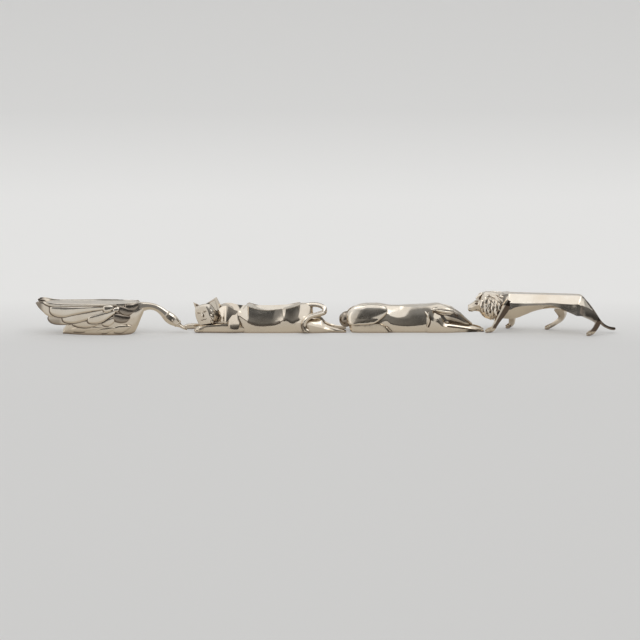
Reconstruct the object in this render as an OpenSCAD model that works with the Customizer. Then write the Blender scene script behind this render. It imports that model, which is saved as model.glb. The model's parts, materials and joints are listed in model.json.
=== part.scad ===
// Set of four animal figures in plated metal, set nose to tail in one row.
// Each figure is modelled about its own middle: +X to the right of the row, -Y the front of the
// row, +Z up, table top at z = 0. The tables below hold the stations of each skin in millimetres.

/* [Row] */
// Middle of the swan, along the row
swan_x = -138; // [-150:1:-138]
// Swan's place across the row
swan_y = -5; // [-8:0.5:-2]
// Middle of the cat, along the row
cat_x = -40; // [-42:1:-40]
// Cat's place across the row
cat_y = 2.5; // [2:0.5:3]
// Middle of the hare, along the row
hare_x = 56; // [56:1:58]
// Hare's place across the row
hare_y = 3.5; // [3:0.5:3.5]
// Middle of the lion, along the row
lion_x = 138; // [138:1:150]
// Lion's place across the row
lion_y = -1.5; // [-3:0.5:-1]
// Turn of the lion about the vertical, in degrees
lion_turn = -9; // [-12:1:0]

/* [Figures] */
// Height of the swan's flat back
swan_back = 20; // [19:0.5:21]
// Half the distance between the lion's left and right feet
lion_track = 8.3; // [7.5:0.1:9]
// Turn of the cat's head towards the front of the row, in degrees
cat_look = 48; // [40:1:55]
// Tilt of the cat's head, in degrees
cat_tilt = 20; // [14:1:24]

/* [Hidden] */
silver = [0.82, 0.79, 0.73];
front = -1;   // side of the row towards the viewer
back = 1;
limb_sides = 12;

// ---- Skins -------------------------------------------------------------------------------

// Keeps a point on or above the table
function on_table(p) = [p.x, p.y, max(p.z, 0)];

// Closed skin of triangles through rings that all have the same number of points
module skin(rings) {
    n = len(rings[0]);
    last = (len(rings) - 1) * n;
    sides = [
        for (i = [0 : len(rings) - 2], j = [0 : n - 1])
            let (k = (j + 1) % n, a = i * n, b = a + n)
                each [[a + j, b + k, a + k], [a + j, b + j, b + k]]
    ];
    start_cap = [for (j = [1 : n - 2]) [0, j, j + 1]];
    end_cap = [for (j = [1 : n - 2]) [last, last + j + 1, last + j]];
    polyhedron([for (r = rings) each r], [each start_cap, each sides, each end_cap]);
}

// Ring across the X axis from the corners of one half, [half width, height] from top to bottom
function across(x, y, half) = [
    for (c = half) [x, y - c[0], c[1]],
    for (i = [len(half) - 1 : -1 : 0]) [x, y + half[i][0], half[i][1]]
];

function unit(v) = v / norm(v);

// Oval ring round station s = [x, y, z, half width, half depth], square to the way the limb runs
function round_ring(s, way) =
    let (side = unit([0, 1, 0] - way * way.y), up = cross(way, side))
        [for (a = [0 : 360 / limb_sides : 359])
            on_table([s[0], s[1], s[2]] + side * s[3] * cos(a) + up * s[4] * sin(a))];

// Limb, neck or tail through its stations [x, y, z, half width, half depth]
module limb(stations) {
    last = len(stations) - 1;
    function place(i) = [for (k = [0 : 2]) stations[max(0, min(last, i))][k]];
    skin([for (i = [0 : last]) round_ring(stations[i], unit(place(i + 1) - place(i - 1)))]);
}

// Leg that lies along the table, through its stations [x, y, top, half width]
module lying_leg(stations, side) {
    skin([for (s = stations) across(s[0], side * s[1], [
        [0.45 * s[3], s[2]], [0.9 * s[3], 0.72 * s[2]], [s[3], 0.3 * s[2]], [0.85 * s[3], 0]
    ])]);
}

// Swelling panel: an outline in [x, z], crowned outwards from y = inner to y = outer
module pillow(outline, centre, inner, outer) {
    rings = [[0, 1], [0.55, 1], [0.8, 0.93], [0.94, 0.78], [1, 0.5]];
    skin([for (r = rings)
        [for (p = outer < inner ? [for (i = [len(outline) - 1 : -1 : 0]) outline[i]] : outline)
            let (q = centre + (p - centre) * r[1])
                [q.x, inner + (outer - inner) * r[0], max(q.y, 0)]]]);
}

// ---- Swan: faces +X ----------------------------------------------------------------------

// [x, underside, back, upper side [y, z], lower side [y, z], half width of the base]
swan_hull = [
    [-31, 0, 2.6, [2.6, 2.0], [3.0, 1.0], 2.8],
    [-28, 0, 5.5, [4.0, 4.0], [4.6, 2.0], 4.4],
    [-23, 0, 16, [5.0, 10], [6.2, 4.5], 6.0],
    [-16, 0, 20, [6.0, 13], [7.6, 6.0], 7.4],
    [-8, 0, 20, [6.5, 14], [8.4, 7.0], 8.2],
    [0, 0, 20, [6.5, 15], [8.8, 8.0], 8.5],
    [8, 0, 20, [6.0, 16], [8.4, 8.5], 7.6],
    [13, 0, 20.8, [4.8, 16], [6.8, 8.5], 5.6],
    [16, 1.6, 20.6, [3.6, 16], [4.6, 8.5], 2.6],
    [18, 7.0, 20.2, [2.8, 16], [3.0, 11], 1.8]
];
module swan_body() {
    skin([for (s = swan_hull) across(s[0], 0, [
        [0.6 * s[3][0], s[2] + swan_back - 20], s[3], s[4], [s[5], s[1]]
    ])]);
}
// [x, underside, top, half width]
swan_tail_stations = [
    [-46.4, 18.8, 20.3, 5.4], [-42, 14.5, 20.3, 6.0], [-37.5, 9.5, 20.2, 6.3],
    [-33, 7.2, 20.1, 6.6], [-28, 6.6, 20, 6.6], [-22, 7.0, 19.6, 5.6]
];
module swan_tail() {
    skin([for (s = swan_tail_stations) across(s[0], 0, [
        [0.7 * s[3], s[2] + swan_back - 20], [s[3], s[2] - 0.7], [s[3], 0.6 * s[1] + 0.4 * s[2]],
        [0.7 * s[3], s[1]]
    ])]);
}
module swan_neck() {
    limb([
        [13, 0, 14.5, 4.2, 5.6], [18.5, 0, 16.4, 3.0, 4.2], [22.5, 0, 17.4, 2.4, 2.6],
        [26, 0, 17.2, 2.1, 2.1], [29.5, 0, 15.9, 2.1, 2.1], [32.5, 0, 13.6, 2.3, 2.5],
        [34.5, 0, 11.6, 2.4, 2.8]
    ]);
}
module swan_head() {
    limb([
        [33.2, 0, 13, 2.2, 2.4], [35.5, 0, 10.8, 2.9, 3.3], [38.5, 0, 8.6, 3.1, 3.3],
        [41, 0, 6.6, 2.6, 2.4], [43, 0, 5.0, 1.9, 1.6]
    ]);
}
module swan_beak() {
    limb([[42, 0, 5.7, 1.7, 1.5], [45, 0, 3.7, 1.7, 1.1], [48.4, 0, 1.9, 1.0, 0.5]]);
}
// [x, lower edge, upper edge, inner face, outer face]
swan_wing_stations = [
    [14, 15, 19, 4.5, 7.0], [8, 11, 20, 6.0, 9.6], [0, 9.2, 20.3, 6.5, 10.4],
    [-8, 7.6, 20.3, 6.5, 10.6], [-16, 6.8, 20.2, 6.2, 10.4], [-24, 6.5, 20.2, 5.8, 10],
    [-32, 7.0, 20.3, 5.6, 9.4], [-38, 9.0, 20.5, 5.4, 8.6], [-43, 14, 20.7, 5.2, 7.6],
    [-47.6, 19.4, 20.9, 5.2, 6.2]
];
module swan_wing(side) {
    skin([for (s = swan_wing_stations) let (
        mid = (s[3] + s[4]) / 2,
        reach = (s[4] - s[3]) / 2,
        tall = s[2] - s[1]
    ) across(s[0], side * mid, [
        [0.5 * reach, s[2]], [reach, s[1] + 0.6 * tall], [0.9 * reach, s[1] + 0.2 * tall],
        [0.4 * reach, s[1]]
    ])]);
}

// ---- Cat: faces -X -----------------------------------------------------------------------

// [x, back, ridge [y, z], hollow [y, z], lower edge [y, z], half width of the base]
cat_trunk = [
    [-35.5, 11.4, [3.0, 10.6], [3.7, 9.0], [4.1, 7.0], 4.5],
    [-31, 12.5, [4.0, 11.5], [4.8, 9.0], [5.4, 6.0], 5.5],
    [-27, 17.0, [4.5, 15.5], [6.6, 11.5], [7.2, 6.5], 7.2],
    [-22, 17.9, [5.0, 16.6], [7.2, 12.5], [8.2, 7.0], 8.4],
    [-16, 17.0, [5.5, 15.6], [7.6, 12.0], [8.3, 8.5], 8.8],
    [-11, 16.8, [4.6, 16.6], [6.9, 12.0], [8.5, 7.4], 8.9],
    [-5, 16.7, [7.0, 15.6], [7.4, 10.5], [8.6, 5.2], 9.0],
    [0, 16.6, [7.8, 14.8], [7.5, 9.8], [8.6, 4.8], 9.0],
    [7, 16.6, [7.8, 14.8], [7.5, 10.3], [8.6, 6.1], 9.0],
    [14, 17.0, [6.8, 16.0], [7.4, 12.0], [8.5, 8.9], 8.8],
    [20, 17.7, [5.4, 17.2], [7.2, 13.0], [8.2, 9.0], 8.4],
    [26, 18.2, [4.4, 17.4], [6.6, 13.0], [7.4, 8.0], 7.6],
    [30, 17.0, [3.5, 15.8], [5.0, 12.0], [5.6, 7.0], 5.6]
];
module cat_body() {
    skin([for (s = cat_trunk) across(s[0], 0, [[2.4, s[1]], s[2], s[3], s[4], [s[5], 0]])]);
}
cat_head_at = [-38, -2.2, 11.2];
module turned_head() {
    translate(cat_head_at) rotate([0, 0, cat_look]) rotate([-cat_tilt, 0, 0]) children();
}
// [forward, underside, top, half width at the cheek, half width at the brow]
cat_skull = [
    [6.0, -3.0, 3.5, 3.6, 3.6], [3.0, -5.2, 6.2, 6.6, 5.6], [0.0, -6.0, 7.4, 7.4, 6.4],
    [-2.5, -6.2, 7.2, 7.0, 6.0], [-4.6, -6.2, 6.2, 5.4, 4.4], [-6.2, -6.0, 4.0, 3.8, 2.8],
    [-7.4, -5.6, 1.0, 2.6, 1.8], [-8.0, -4.6, -1.4, 1.8, 1.4]
];
module cat_head() {
    turned_head() skin([for (s = cat_skull) let (tall = s[2] - s[1])
        across(s[0], 0, [
            [0.4 * s[4], s[2]], [s[4], s[1] + 0.84 * tall], [s[3], s[1] + 0.45 * tall],
            [0.5 * s[3], s[1]]
        ])]);
}
// Four corners of the root and the tip, before the mirror to either side
cat_ear_root = [[-2.4, 3.4, 6.0], [2.0, 3.0, 3.6], [6.4, 9.4, 3.2], [3.0, 8.0, 1.2]];
cat_ear_tip = [1.4, 10.6, 9.2];
module cat_ear(side) {
    turned_head() mirror([0, side < 0 ? 1 : 0, 0])
        skin([for (t = [0, 0.5, 0.94]) [for (p = cat_ear_root) p + (cat_ear_tip - p) * t]]);
}
cat_arm = [
    [-19, 2.4], [-22.4, 4.4], [-23.6, 6.6], [-22.2, 10], [-19.4, 13.4], [-17.4, 12.4],
    [-16, 9], [-15.6, 5.6], [-16.6, 3.2]
];
module cat_shoulder(side) { pillow(cat_arm, [-19, 7.5], side * 6, side * 9.8); }
cat_foreleg_front = [
    [-13.5, 6.8, 3.6, 1.5], [-17, 7.4, 5.0, 2.1], [-24, 7.5, 5.2, 2.4], [-30, 7.2, 4.8, 2.3],
    [-36, 6.8, 4.4, 2.3], [-41, 6.6, 4.0, 2.5], [-44.6, 6.6, 2.4, 1.9]
];
cat_foreleg_back = [
    [-13.5, 6.8, 3.6, 1.5], [-17, 7.4, 5.0, 2.1], [-25, 7.5, 5.0, 2.4], [-34, 7.0, 4.0, 2.2],
    [-42, 6.6, 3.2, 2.0], [-49, 6.4, 3.0, 2.3], [-53, 6.4, 1.8, 1.8]
];
cat_hindleg_stations = [
    [17.5, 5.6, 8.0, 2.0], [21, 6.4, 12.6, 2.6], [26, 7.0, 12.4, 3.0], [31, 7.0, 9.6, 3.0], [36, 6.6, 8.0, 2.7],
    [39, 6.5, 5.0, 2.3], [43, 6.4, 3.3, 2.0], [47, 6.6, 2.4, 1.7], [50.5, 6.7, 2.0, 1.7],
    [52.4, 6.5, 1.2, 1.3]
];
module cat_tail() {
    limb([
        [26, -0.5, 16.4, 1.6, 1.5], [30.5, -1.2, 17.3, 1.6, 1.5], [35, -2.2, 17, 1.6, 1.5],
        [38.2, -3.4, 15.2, 1.6, 1.5], [38, -5.0, 12.9, 1.6, 1.5], [34.5, -7.0, 12, 1.6, 1.5],
        [29.5, -9.2, 10.9, 1.6, 1.5], [26.2, -10.6, 8.6, 1.5, 1.5], [24.8, -11.2, 5.4, 1.5, 1.5],
        [25.6, -11.4, 2.8, 1.4, 1.4], [27.8, -11.4, 1.5, 1.2, 1.2]
    ]);
}

// ---- Hare: faces +X ----------------------------------------------------------------------

// [x, back, shoulder [y, z], upper crease [y, z], lower crease [y, z], half width of the base]
hare_trunk = [
    [-42, 10.5, [3.0, 9.5], [4.0, 7.0], [4.0, 4.0], 4.0],
    [-38, 15.0, [5.0, 13.0], [6.5, 9.5], [6.5, 5.0], 6.5],
    [-32, 17.0, [6.0, 15.0], [8.0, 11.0], [7.6, 5.0], 8.0],
    [-24, 17.2, [6.4, 15.0], [8.4, 11.0], [7.6, 5.0], 8.4],
    [-17, 16.6, [6.4, 14.6], [8.6, 11.5], [7.6, 8.0], 8.6],
    [-12, 16.4, [6.4, 14.4], [8.8, 10.6], [7.6, 5.2], 8.6],
    [-5, 16.4, [6.4, 14.2], [8.8, 10.1], [7.4, 4.4], 8.6],
    [2, 16.4, [6.4, 14.4], [8.8, 10.2], [7.4, 4.6], 8.6],
    [8, 17.0, [6.2, 15.0], [8.6, 10.8], [7.4, 5.6], 8.4],
    [14, 17.8, [5.6, 16.0], [7.8, 11.5], [7.0, 6.0], 7.8],
    [18, 17.2, [4.6, 15.8], [6.6, 11.5], [6.4, 6.5], 6.6],
    [22, 14.0, [3.5, 13.0], [4.5, 10.0], [4.5, 7.0], 4.6]
];
module hare_body() {
    skin([for (s = hare_trunk) across(s[0], 0, [[2.2, s[1]], s[2], s[3], s[4], [s[5], 0]])]);
}
module hare_head() {
    limb([
        [15, 0, 12.2, 5.2, 5.0], [20, 0, 11.4, 5.6, 5.2], [25, 0, 9.8, 5.2, 4.6],
        [29, 0, 8.0, 4.5, 3.8], [32.5, 0, 6.2, 3.6, 2.8], [35.5, 0, 4.8, 2.9, 2.0],
        [37.4, 0, 3.9, 2.2, 1.2]
    ]);
}
hare_ear_outline = [
    [11, 14.6], [14, 15.8], [20, 15.6], [24.6, 14.4], [25.6, 12.6], [22.5, 11], [18.5, 10.8],
    [15, 12.6]
];
module hare_ear(side) { pillow(hare_ear_outline, [20, 13.4], side * 3.6, side * 7.4); }
hare_foreleg_stations = [
    [5, 5.2, 6.0, 2.4], [9, 5.8, 8.6, 3.1], [14, 5.8, 8.4, 3.0], [19, 5.8, 6.4, 2.9], [23, 5.6, 4.8, 2.6],
    [30, 5.0, 3.4, 2.2], [37, 4.4, 2.4, 1.9], [41, 4.1, 2.0, 2.0], [45, 4.0, 1.0, 1.2]
];
hare_haunch_outline = [
    [-41.6, 8.6], [-41.2, 12.6], [-38, 16], [-33, 17.6], [-26, 17.9], [-21, 17.6], [-18, 15.8],
    [-17.2, 13.5], [-18.6, 11.3], [-22, 8.4], [-25, 6.2], [-29, 5.4], [-36, 5.4], [-40, 6.2]
];
module hare_haunch(side) { pillow(hare_haunch_outline, [-29, 12], side * 4, side * 10.4); }
hare_hindfoot_stations = [
    [-40.5, 5.4, 3.0, 1.8], [-37, 7.2, 4.8, 2.6], [-28, 8.0, 4.9, 2.6], [-23, 8.4, 4.2, 2.4],
    [-19, 8.6, 3.0, 2.2], [-15.4, 8.6, 1.4, 1.6]
];
module hare_tail() {
    limb([
        [-47.8, 0, 7.0, 1.6, 1.8], [-46.8, 0, 7.2, 2.9, 3.6], [-44.4, 0, 8, 3.6, 4.6],
        [-41.6, 0, 9.2, 3.4, 4.6], [-39.6, 0, 10, 2.4, 3.2]
    ]);
}

// ---- Lion: faces -X ----------------------------------------------------------------------

// [x, back [y, z], crease [y, z], lower crease [y, z], belly [y, z]]
lion_trunk = [
    [-27, [3.0, 24.0], [5.5, 20.0], [5.2, 15.0], [2.5, 10.0]],
    [-22, [3.0, 24.8], [7.4, 19.8], [7.0, 14.5], [3.2, 8.8]],
    [-17, [3.2, 24.8], [8.0, 19.6], [7.4, 17.0], [3.2, 9.0]],
    [-10, [3.2, 24.8], [8.2, 19.8], [7.6, 18.4], [3.0, 11.5]],
    [-4, [3.2, 24.8], [8.0, 20.0], [7.4, 18.8], [2.8, 14.3]],
    [3, [3.2, 24.8], [7.8, 20.5], [7.2, 19.2], [2.8, 15.8]],
    [8, [3.2, 24.8], [7.8, 20.6], [7.2, 19.0], [3.0, 16.0]],
    [14, [3.2, 24.8], [8.0, 20.2], [7.6, 17.2], [3.0, 15.0]],
    [20, [3.2, 24.8], [8.2, 20.2], [8.0, 14.8], [3.2, 13.0]],
    [24.5, [3.0, 24.8], [7.6, 20.4], [7.6, 13.6], [3.0, 12.4]],
    [28, [1.8, 20.5], [5.0, 18.4], [6.0, 13.8], [2.5, 12.8]],
    [31, [1.0, 16.8], [3.0, 15.8], [4.0, 14.2], [2.0, 13.4]]
];
module lion_body() {
    skin([for (s = lion_trunk) across(s[0], 0, [s[1], s[2], s[3], s[4]])]);
}
// [x, underside, top, half width]
lion_mane_stations = [
    [-24.5, 14, 24.4, 6.0], [-27, 9.4, 24.8, 7.4], [-30, 7.8, 25.2, 8.0], [-33, 7.7, 25.6, 8.0],
    [-36, 8.2, 25.6, 7.3], [-38.5, 10, 24.6, 6.0], [-40, 12.2, 22.8, 4.6]
];
lion_head_stations = [
    [-36, 12, 23.6, 5.0], [-40, 12.4, 22.8, 4.8], [-42.5, 12.9, 20.2, 4.0],
    [-44.5, 12.6, 18.4, 3.3], [-46.4, 12.5, 16.9, 2.9], [-47.5, 13.6, 15.8, 2.0]
];
module rounded_block(stations) {
    skin([for (s = stations) let (mid = (s[1] + s[2]) / 2, tall = (s[2] - s[1]) / 2)
        across(s[0], 0, [
            [0.42 * s[3], s[2]], [0.88 * s[3], mid + 0.62 * tall], [s[3], mid],
            [0.82 * s[3], mid - 0.66 * tall], [0.36 * s[3], s[1]]
        ])]);
}
module lion_mane() { rounded_block(lion_mane_stations); }
module lion_head() { rounded_block(lion_head_stations); }
// Legs: [x, share of the track, z, half width, half depth]
lion_leg_stations = [
    [ // left fore
        [-21.5, 0.72, 19.6, 2.6, 3.2], [-23.5, 0.80, 16, 2.9, 3.4], [-26, 0.88, 12, 2.5, 2.7],
        [-28.2, 0.94, 8, 2.1, 2.1], [-29.6, 0.97, 5, 1.9, 1.8], [-31.2, 1, 2.5, 2.1, 1.7],
        [-33.6, 1, 1.4, 2.4, 1.4], [-35.4, 1, 1.0, 2.0, 1.0]
    ],
    [ // right fore
        [-18.6, 0.66, 14, 2.4, 3.0], [-20, 0.86, 9, 2.1, 2.4], [-20, 0.96, 5, 2.0, 2.2],
        [-20.6, 1, 2.2, 2.1, 2.0], [-22.4, 1, 1.3, 2.3, 1.3], [-23.8, 1, 0.9, 1.9, 0.9]
    ],
    [ // left hind
        [19, 0.60, 17, 3.2, 3.6], [25, 0.70, 16.4, 3.4, 4.4], [30, 0.80, 14, 3.1, 3.7],
        [34, 0.87, 11.2, 2.6, 2.8], [35.9, 0.90, 8.8, 2.2, 2.2], [35.2, 0.94, 6.2, 1.9, 1.7],
        [33.8, 0.97, 3.8, 1.8, 1.5], [32.2, 1, 2.1, 2.1, 1.6], [30.4, 1, 1.3, 2.3, 1.3],
        [29, 1, 0.9, 1.9, 0.9]
    ],
    [ // right hind
        [10.6, 0.58, 16, 3.0, 4.0], [12.4, 0.76, 12, 2.8, 3.3], [12.5, 0.88, 9.4, 2.4, 2.4],
        [11.4, 0.95, 7, 2.0, 1.9], [9, 0.98, 4.9, 1.8, 1.6], [6.2, 1, 2.8, 2.0, 1.5],
        [3.6, 1, 1.5, 2.3, 1.4], [1.6, 1, 1.0, 1.9, 1.0]
    ]
];
module lion_leg(which, side) {
    limb([for (s = lion_leg_stations[which]) [s[0], side * lion_track * s[1], s[2], s[3], s[4]]]);
}
module lion_tail() {
    limb([
        [25.4, 0.4, 23, 1.2, 1.2], [29.6, 1.4, 18, 1.3, 1.3], [33.6, 2.2, 12.4, 1.3, 1.3],
        [36.6, 2.6, 7.8, 1.3, 1.3], [39.6, 2.8, 4.9, 1.2, 1.2], [43, 2.8, 3.3, 1.2, 1.2],
        [45.6, 2.8, 2.9, 1.3, 1.2], [47, 2.8, 2.9, 0.8, 0.7]
    ]);
}

// ---- Places in the row -------------------------------------------------------------------

module swan() { color(silver) translate([swan_x, swan_y, 0]) children(); }
module cat() { color(silver) translate([cat_x, cat_y, 0]) children(); }
module hare() { color(silver) translate([hare_x, hare_y, 0]) children(); }
module lion() {
    color(silver) translate([lion_x, lion_y, 0]) rotate([0, 0, lion_turn]) children();
}

swan() swan_body();
swan() swan_neck();
swan() swan_head();
swan() swan_beak();
swan() swan_wing(back);  // swan_wing_left
swan() swan_wing(front);  // swan_wing_right
swan() swan_tail();
cat() cat_body();
cat() cat_head();
cat() cat_ear(front);  // cat_ear_left
cat() cat_ear(back);  // cat_ear_right
cat() cat_shoulder(front);  // cat_shoulder_left
cat() cat_shoulder(back);  // cat_shoulder_right
cat() lying_leg(cat_foreleg_front, front);  // cat_foreleg_left
cat() lying_leg(cat_foreleg_back, back);  // cat_foreleg_right
cat() lying_leg(cat_hindleg_stations, front);  // cat_hindleg_left
cat() lying_leg(cat_hindleg_stations, back);  // cat_hindleg_right
cat() cat_tail();
hare() hare_body();
hare() hare_head();
hare() hare_ear(back);  // hare_ear_left
hare() hare_ear(front);  // hare_ear_right
hare() lying_leg(hare_foreleg_stations, back);  // hare_foreleg_left
hare() lying_leg(hare_foreleg_stations, front);  // hare_foreleg_right
hare() hare_haunch(back);  // hare_haunch_left
hare() hare_haunch(front);  // hare_haunch_right
hare() lying_leg(hare_hindfoot_stations, back);  // hare_hindfoot_left
hare() lying_leg(hare_hindfoot_stations, front);  // hare_hindfoot_right
hare() hare_tail();
lion() lion_body();
lion() lion_mane();
lion() lion_head();
lion() lion_leg(0, front);  // lion_foreleg_left
lion() lion_leg(1, back);  // lion_foreleg_right
lion() lion_leg(2, front);  // lion_hindleg_left
lion() lion_leg(3, back);  // lion_hindleg_right
lion() lion_tail();
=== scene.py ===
# %% [markdown]
# # Four animal knife rests in plated metal
# A swan, a stretching cat, a crouching hare and a prowling lion stand loose on a table, nose to
# tail. Real ones are cast, filed to flat panels with sharp creases, then silver plated and
# polished. This notebook makes each animal from a few simple surfaces and dresses them in metal.
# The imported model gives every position, so each animal is laid over its own solids.

# %% Frame
import json
import math

import bmesh
import bpy
import numpy as np
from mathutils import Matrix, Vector
from mathutils.bvhtree import BVHTree

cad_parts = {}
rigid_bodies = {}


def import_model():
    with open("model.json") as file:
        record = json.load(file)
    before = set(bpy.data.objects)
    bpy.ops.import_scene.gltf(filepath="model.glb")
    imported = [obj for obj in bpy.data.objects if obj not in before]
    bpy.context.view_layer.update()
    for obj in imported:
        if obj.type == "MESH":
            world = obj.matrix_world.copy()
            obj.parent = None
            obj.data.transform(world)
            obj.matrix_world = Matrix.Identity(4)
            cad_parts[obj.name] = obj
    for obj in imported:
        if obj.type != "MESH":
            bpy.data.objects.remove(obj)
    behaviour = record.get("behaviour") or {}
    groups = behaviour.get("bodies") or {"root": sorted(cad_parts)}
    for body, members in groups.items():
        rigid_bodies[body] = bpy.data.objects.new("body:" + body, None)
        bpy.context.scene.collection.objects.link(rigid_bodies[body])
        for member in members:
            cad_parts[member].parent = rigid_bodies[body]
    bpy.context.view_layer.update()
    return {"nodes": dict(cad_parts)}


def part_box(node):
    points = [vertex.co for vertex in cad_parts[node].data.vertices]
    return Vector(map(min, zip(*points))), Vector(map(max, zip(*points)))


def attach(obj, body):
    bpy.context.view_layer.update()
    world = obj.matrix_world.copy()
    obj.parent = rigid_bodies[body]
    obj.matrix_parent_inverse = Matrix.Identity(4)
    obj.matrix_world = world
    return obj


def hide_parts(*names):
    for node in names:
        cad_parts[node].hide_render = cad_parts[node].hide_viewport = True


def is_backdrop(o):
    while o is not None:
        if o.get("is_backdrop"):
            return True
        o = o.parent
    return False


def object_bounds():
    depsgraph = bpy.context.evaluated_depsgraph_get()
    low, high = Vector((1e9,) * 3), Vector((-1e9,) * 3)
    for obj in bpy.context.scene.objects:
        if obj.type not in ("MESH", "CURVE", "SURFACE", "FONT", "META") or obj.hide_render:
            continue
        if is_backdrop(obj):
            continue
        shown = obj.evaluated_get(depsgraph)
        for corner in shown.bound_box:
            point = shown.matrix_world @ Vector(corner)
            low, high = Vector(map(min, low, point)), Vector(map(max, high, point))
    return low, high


for leftover in list(bpy.data.objects):
    bpy.data.objects.remove(leftover)
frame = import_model()

# %% [markdown]
# ## Measuring in millimetres
# Each animal is drawn about its own middle, in millimetres, with X along its back, Y across and
# Z up from the table. A `Figure` keeps where that middle stands in the row, found from the
# animal's own solid, so the drawing lands on the frame without fitting.

# %% Figures
MM = 0.001


class Figure:
    """One animal: its body name, where its middle stands, and its turn about the vertical.
    `node_low` is the lowest x and y of that solid in the animal's own drawing."""

    def __init__(self, body, node, node_low, turn=0.0):
        low = np.array(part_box(node)[0]) / MM
        self.body = body
        self.turn = math.radians(turn)
        self.at = low[:2] - np.array(node_low)

    def place(self, points):
        """Local millimetres to metres in the row."""
        p = np.asarray(points, float)
        c, s = math.cos(self.turn), math.sin(self.turn)
        x = p[:, 0] * c - p[:, 1] * s + self.at[0]
        y = p[:, 0] * s + p[:, 1] * c + self.at[1]
        return np.stack([x, y, p[:, 2]], 1) * MM


def lowest_turned(points, turn):
    """Lowest x and y of plan points once turned, to find the middle of a turned figure."""
    a = math.radians(turn)
    p = np.array(points, float)
    return [float((p[:, 0] * math.cos(a) - p[:, 1] * math.sin(a)).min()),
            float((p[:, 0] * math.sin(a) + p[:, 1] * math.cos(a)).min())]


SWAN = Figure("swan", "swan_body", [-31, -8.8])
CAT = Figure("cat", "cat_body", [-35.5, -9])
HARE = Figure("hare", "hare_body", [-42, -8.8])
LION_TURN = -9
LION = Figure("lion", "lion_mane", lowest_turned(
    [(x, s * w) for x, w in ((-24.5, 6.0), (-27, 7.4), (-30, 8.0), (-33, 8.0), (-36, 7.3),
                             (-38.5, 6.0), (-40, 4.6)) for s in (-1, 1)], LION_TURN), LION_TURN)
for figure in (SWAN, CAT, HARE, LION):
    print(figure.body, "stands at", figure.at.round(2))

# %% [markdown]
# ## Smooth curves through a few stations
# The maker filed each body to a handful of sections. Between the stations the surface has to
# run on without a ripple. A cubic through the table does it. The steady kind never overshoots a
# station, which keeps panels flat, and the flowing kind suits necks and tails.

# %% Curves
def eased(table, steps, flowing=False):
    """The table's columns at `steps` parts between each pair of rows. The first column counts."""
    table = np.asarray(table, float)
    if flowing:
        gaps = np.linalg.norm(np.diff(table[:, :3], axis=0), axis=1)
        t = np.concatenate([[0], np.cumsum(np.sqrt(gaps))])
    else:
        t = table[:, 0] - table[0, 0]
        if t[-1] < 0:
            t = -t
    gap = np.diff(t)[:, None]
    slope = np.diff(table, axis=0) / gap
    tangent = np.zeros_like(table)
    tangent[0], tangent[-1] = slope[0], slope[-1]
    before, after = slope[:-1], slope[1:]
    if flowing:
        tangent[1:-1] = (before * gap[1:] + after * gap[:-1]) / (gap[1:] + gap[:-1])
    else:
        agree = before * after > 0
        safe_b, safe_a = np.where(agree, before, 1), np.where(agree, after, 1)
        w1, w2 = 2 * gap[1:] + gap[:-1], gap[1:] + 2 * gap[:-1]
        tangent[1:-1] = np.where(agree, (w1 + w2) / (w1 / safe_b + w2 / safe_a), 0)
    rows = []
    for i in range(len(table) - 1):
        for k in range(steps):
            s = k / steps
            a = 2 * s**3 - 3 * s**2 + 1
            b = s**3 - 2 * s**2 + s
            rows.append(a * table[i] + (1 - a) * table[i + 1] + gap[i] * b * tangent[i]
                        + gap[i] * (s**3 - s**2) * tangent[i + 1])
    rows.append(table[-1])
    return np.array(rows)


print("two stations and three steps give", len(eased([[0, 0], [1, 2]], 3)), "rows")

# %% [markdown]
# ## Skins from rings
# Every shape here is a row of closed rings joined by a skin, with a small fan at each end. A
# lattice or a sculpt would do too, but rings keep each crease where its table puts it.

# %% Skins
def skin(rings):
    """Points and faces of a closed skin over rings of equal length."""
    rings = np.asarray(rings, float)
    m, n = rings.shape[:2]
    points = np.concatenate([rings.reshape(-1, 3), rings[0].mean(0)[None], rings[-1].mean(0)[None]])
    faces = []
    for i in range(m - 1):
        for j in range(n):
            k = (j + 1) % n
            faces.append((i * n + j, i * n + k, (i + 1) * n + k, (i + 1) * n + j))
    for j in range(n):
        k = (j + 1) % n
        faces.append((m * n, k, j))
        faces.append((m * n + 1, (m - 1) * n + j, (m - 1) * n + k))
    return points, faces


def several(*shapes):
    """Puts shapes together as one set of points and faces."""
    points, faces, n = [], [], 0
    for p, f in shapes:
        points.append(np.asarray(p))
        faces += [tuple(i + n for i in face) for face in f]
        n += len(p)
    return np.concatenate(points), faces


cube_rings = [[(x, 0, 0), (x, 1, 0), (x, 1, 1), (x, 0, 1)] for x in (0, 1)]
print("two square rings make", len(skin(cube_rings)[1]), "faces")

# %% [markdown]
# ## Bodies cut across
# A trunk is drawn as a maker's board is: the half section at each station, from the back down to
# the foot, mirrored for the far side. A raised part of one flank, such as a thigh, uses the same
# half section with a flat back. Each panel between two creases may bow out or in.

# %% Bodies
def side_profile(corners, bulges, cuts):
    """Points from top to bottom through corners [y, z], each panel bowed by its bulge."""
    out = []
    for k in range(len(corners) - 1):
        a, b = corners[k], corners[k + 1]
        way = b - a
        outwards = np.array([-way[1], way[0]])
        for i in range(cuts):
            s = i / cuts
            out.append(a + way * s + outwards * 4 * bulges[k] * s * (1 - s))
    out.append(corners[-1])
    return np.array(out)


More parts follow.
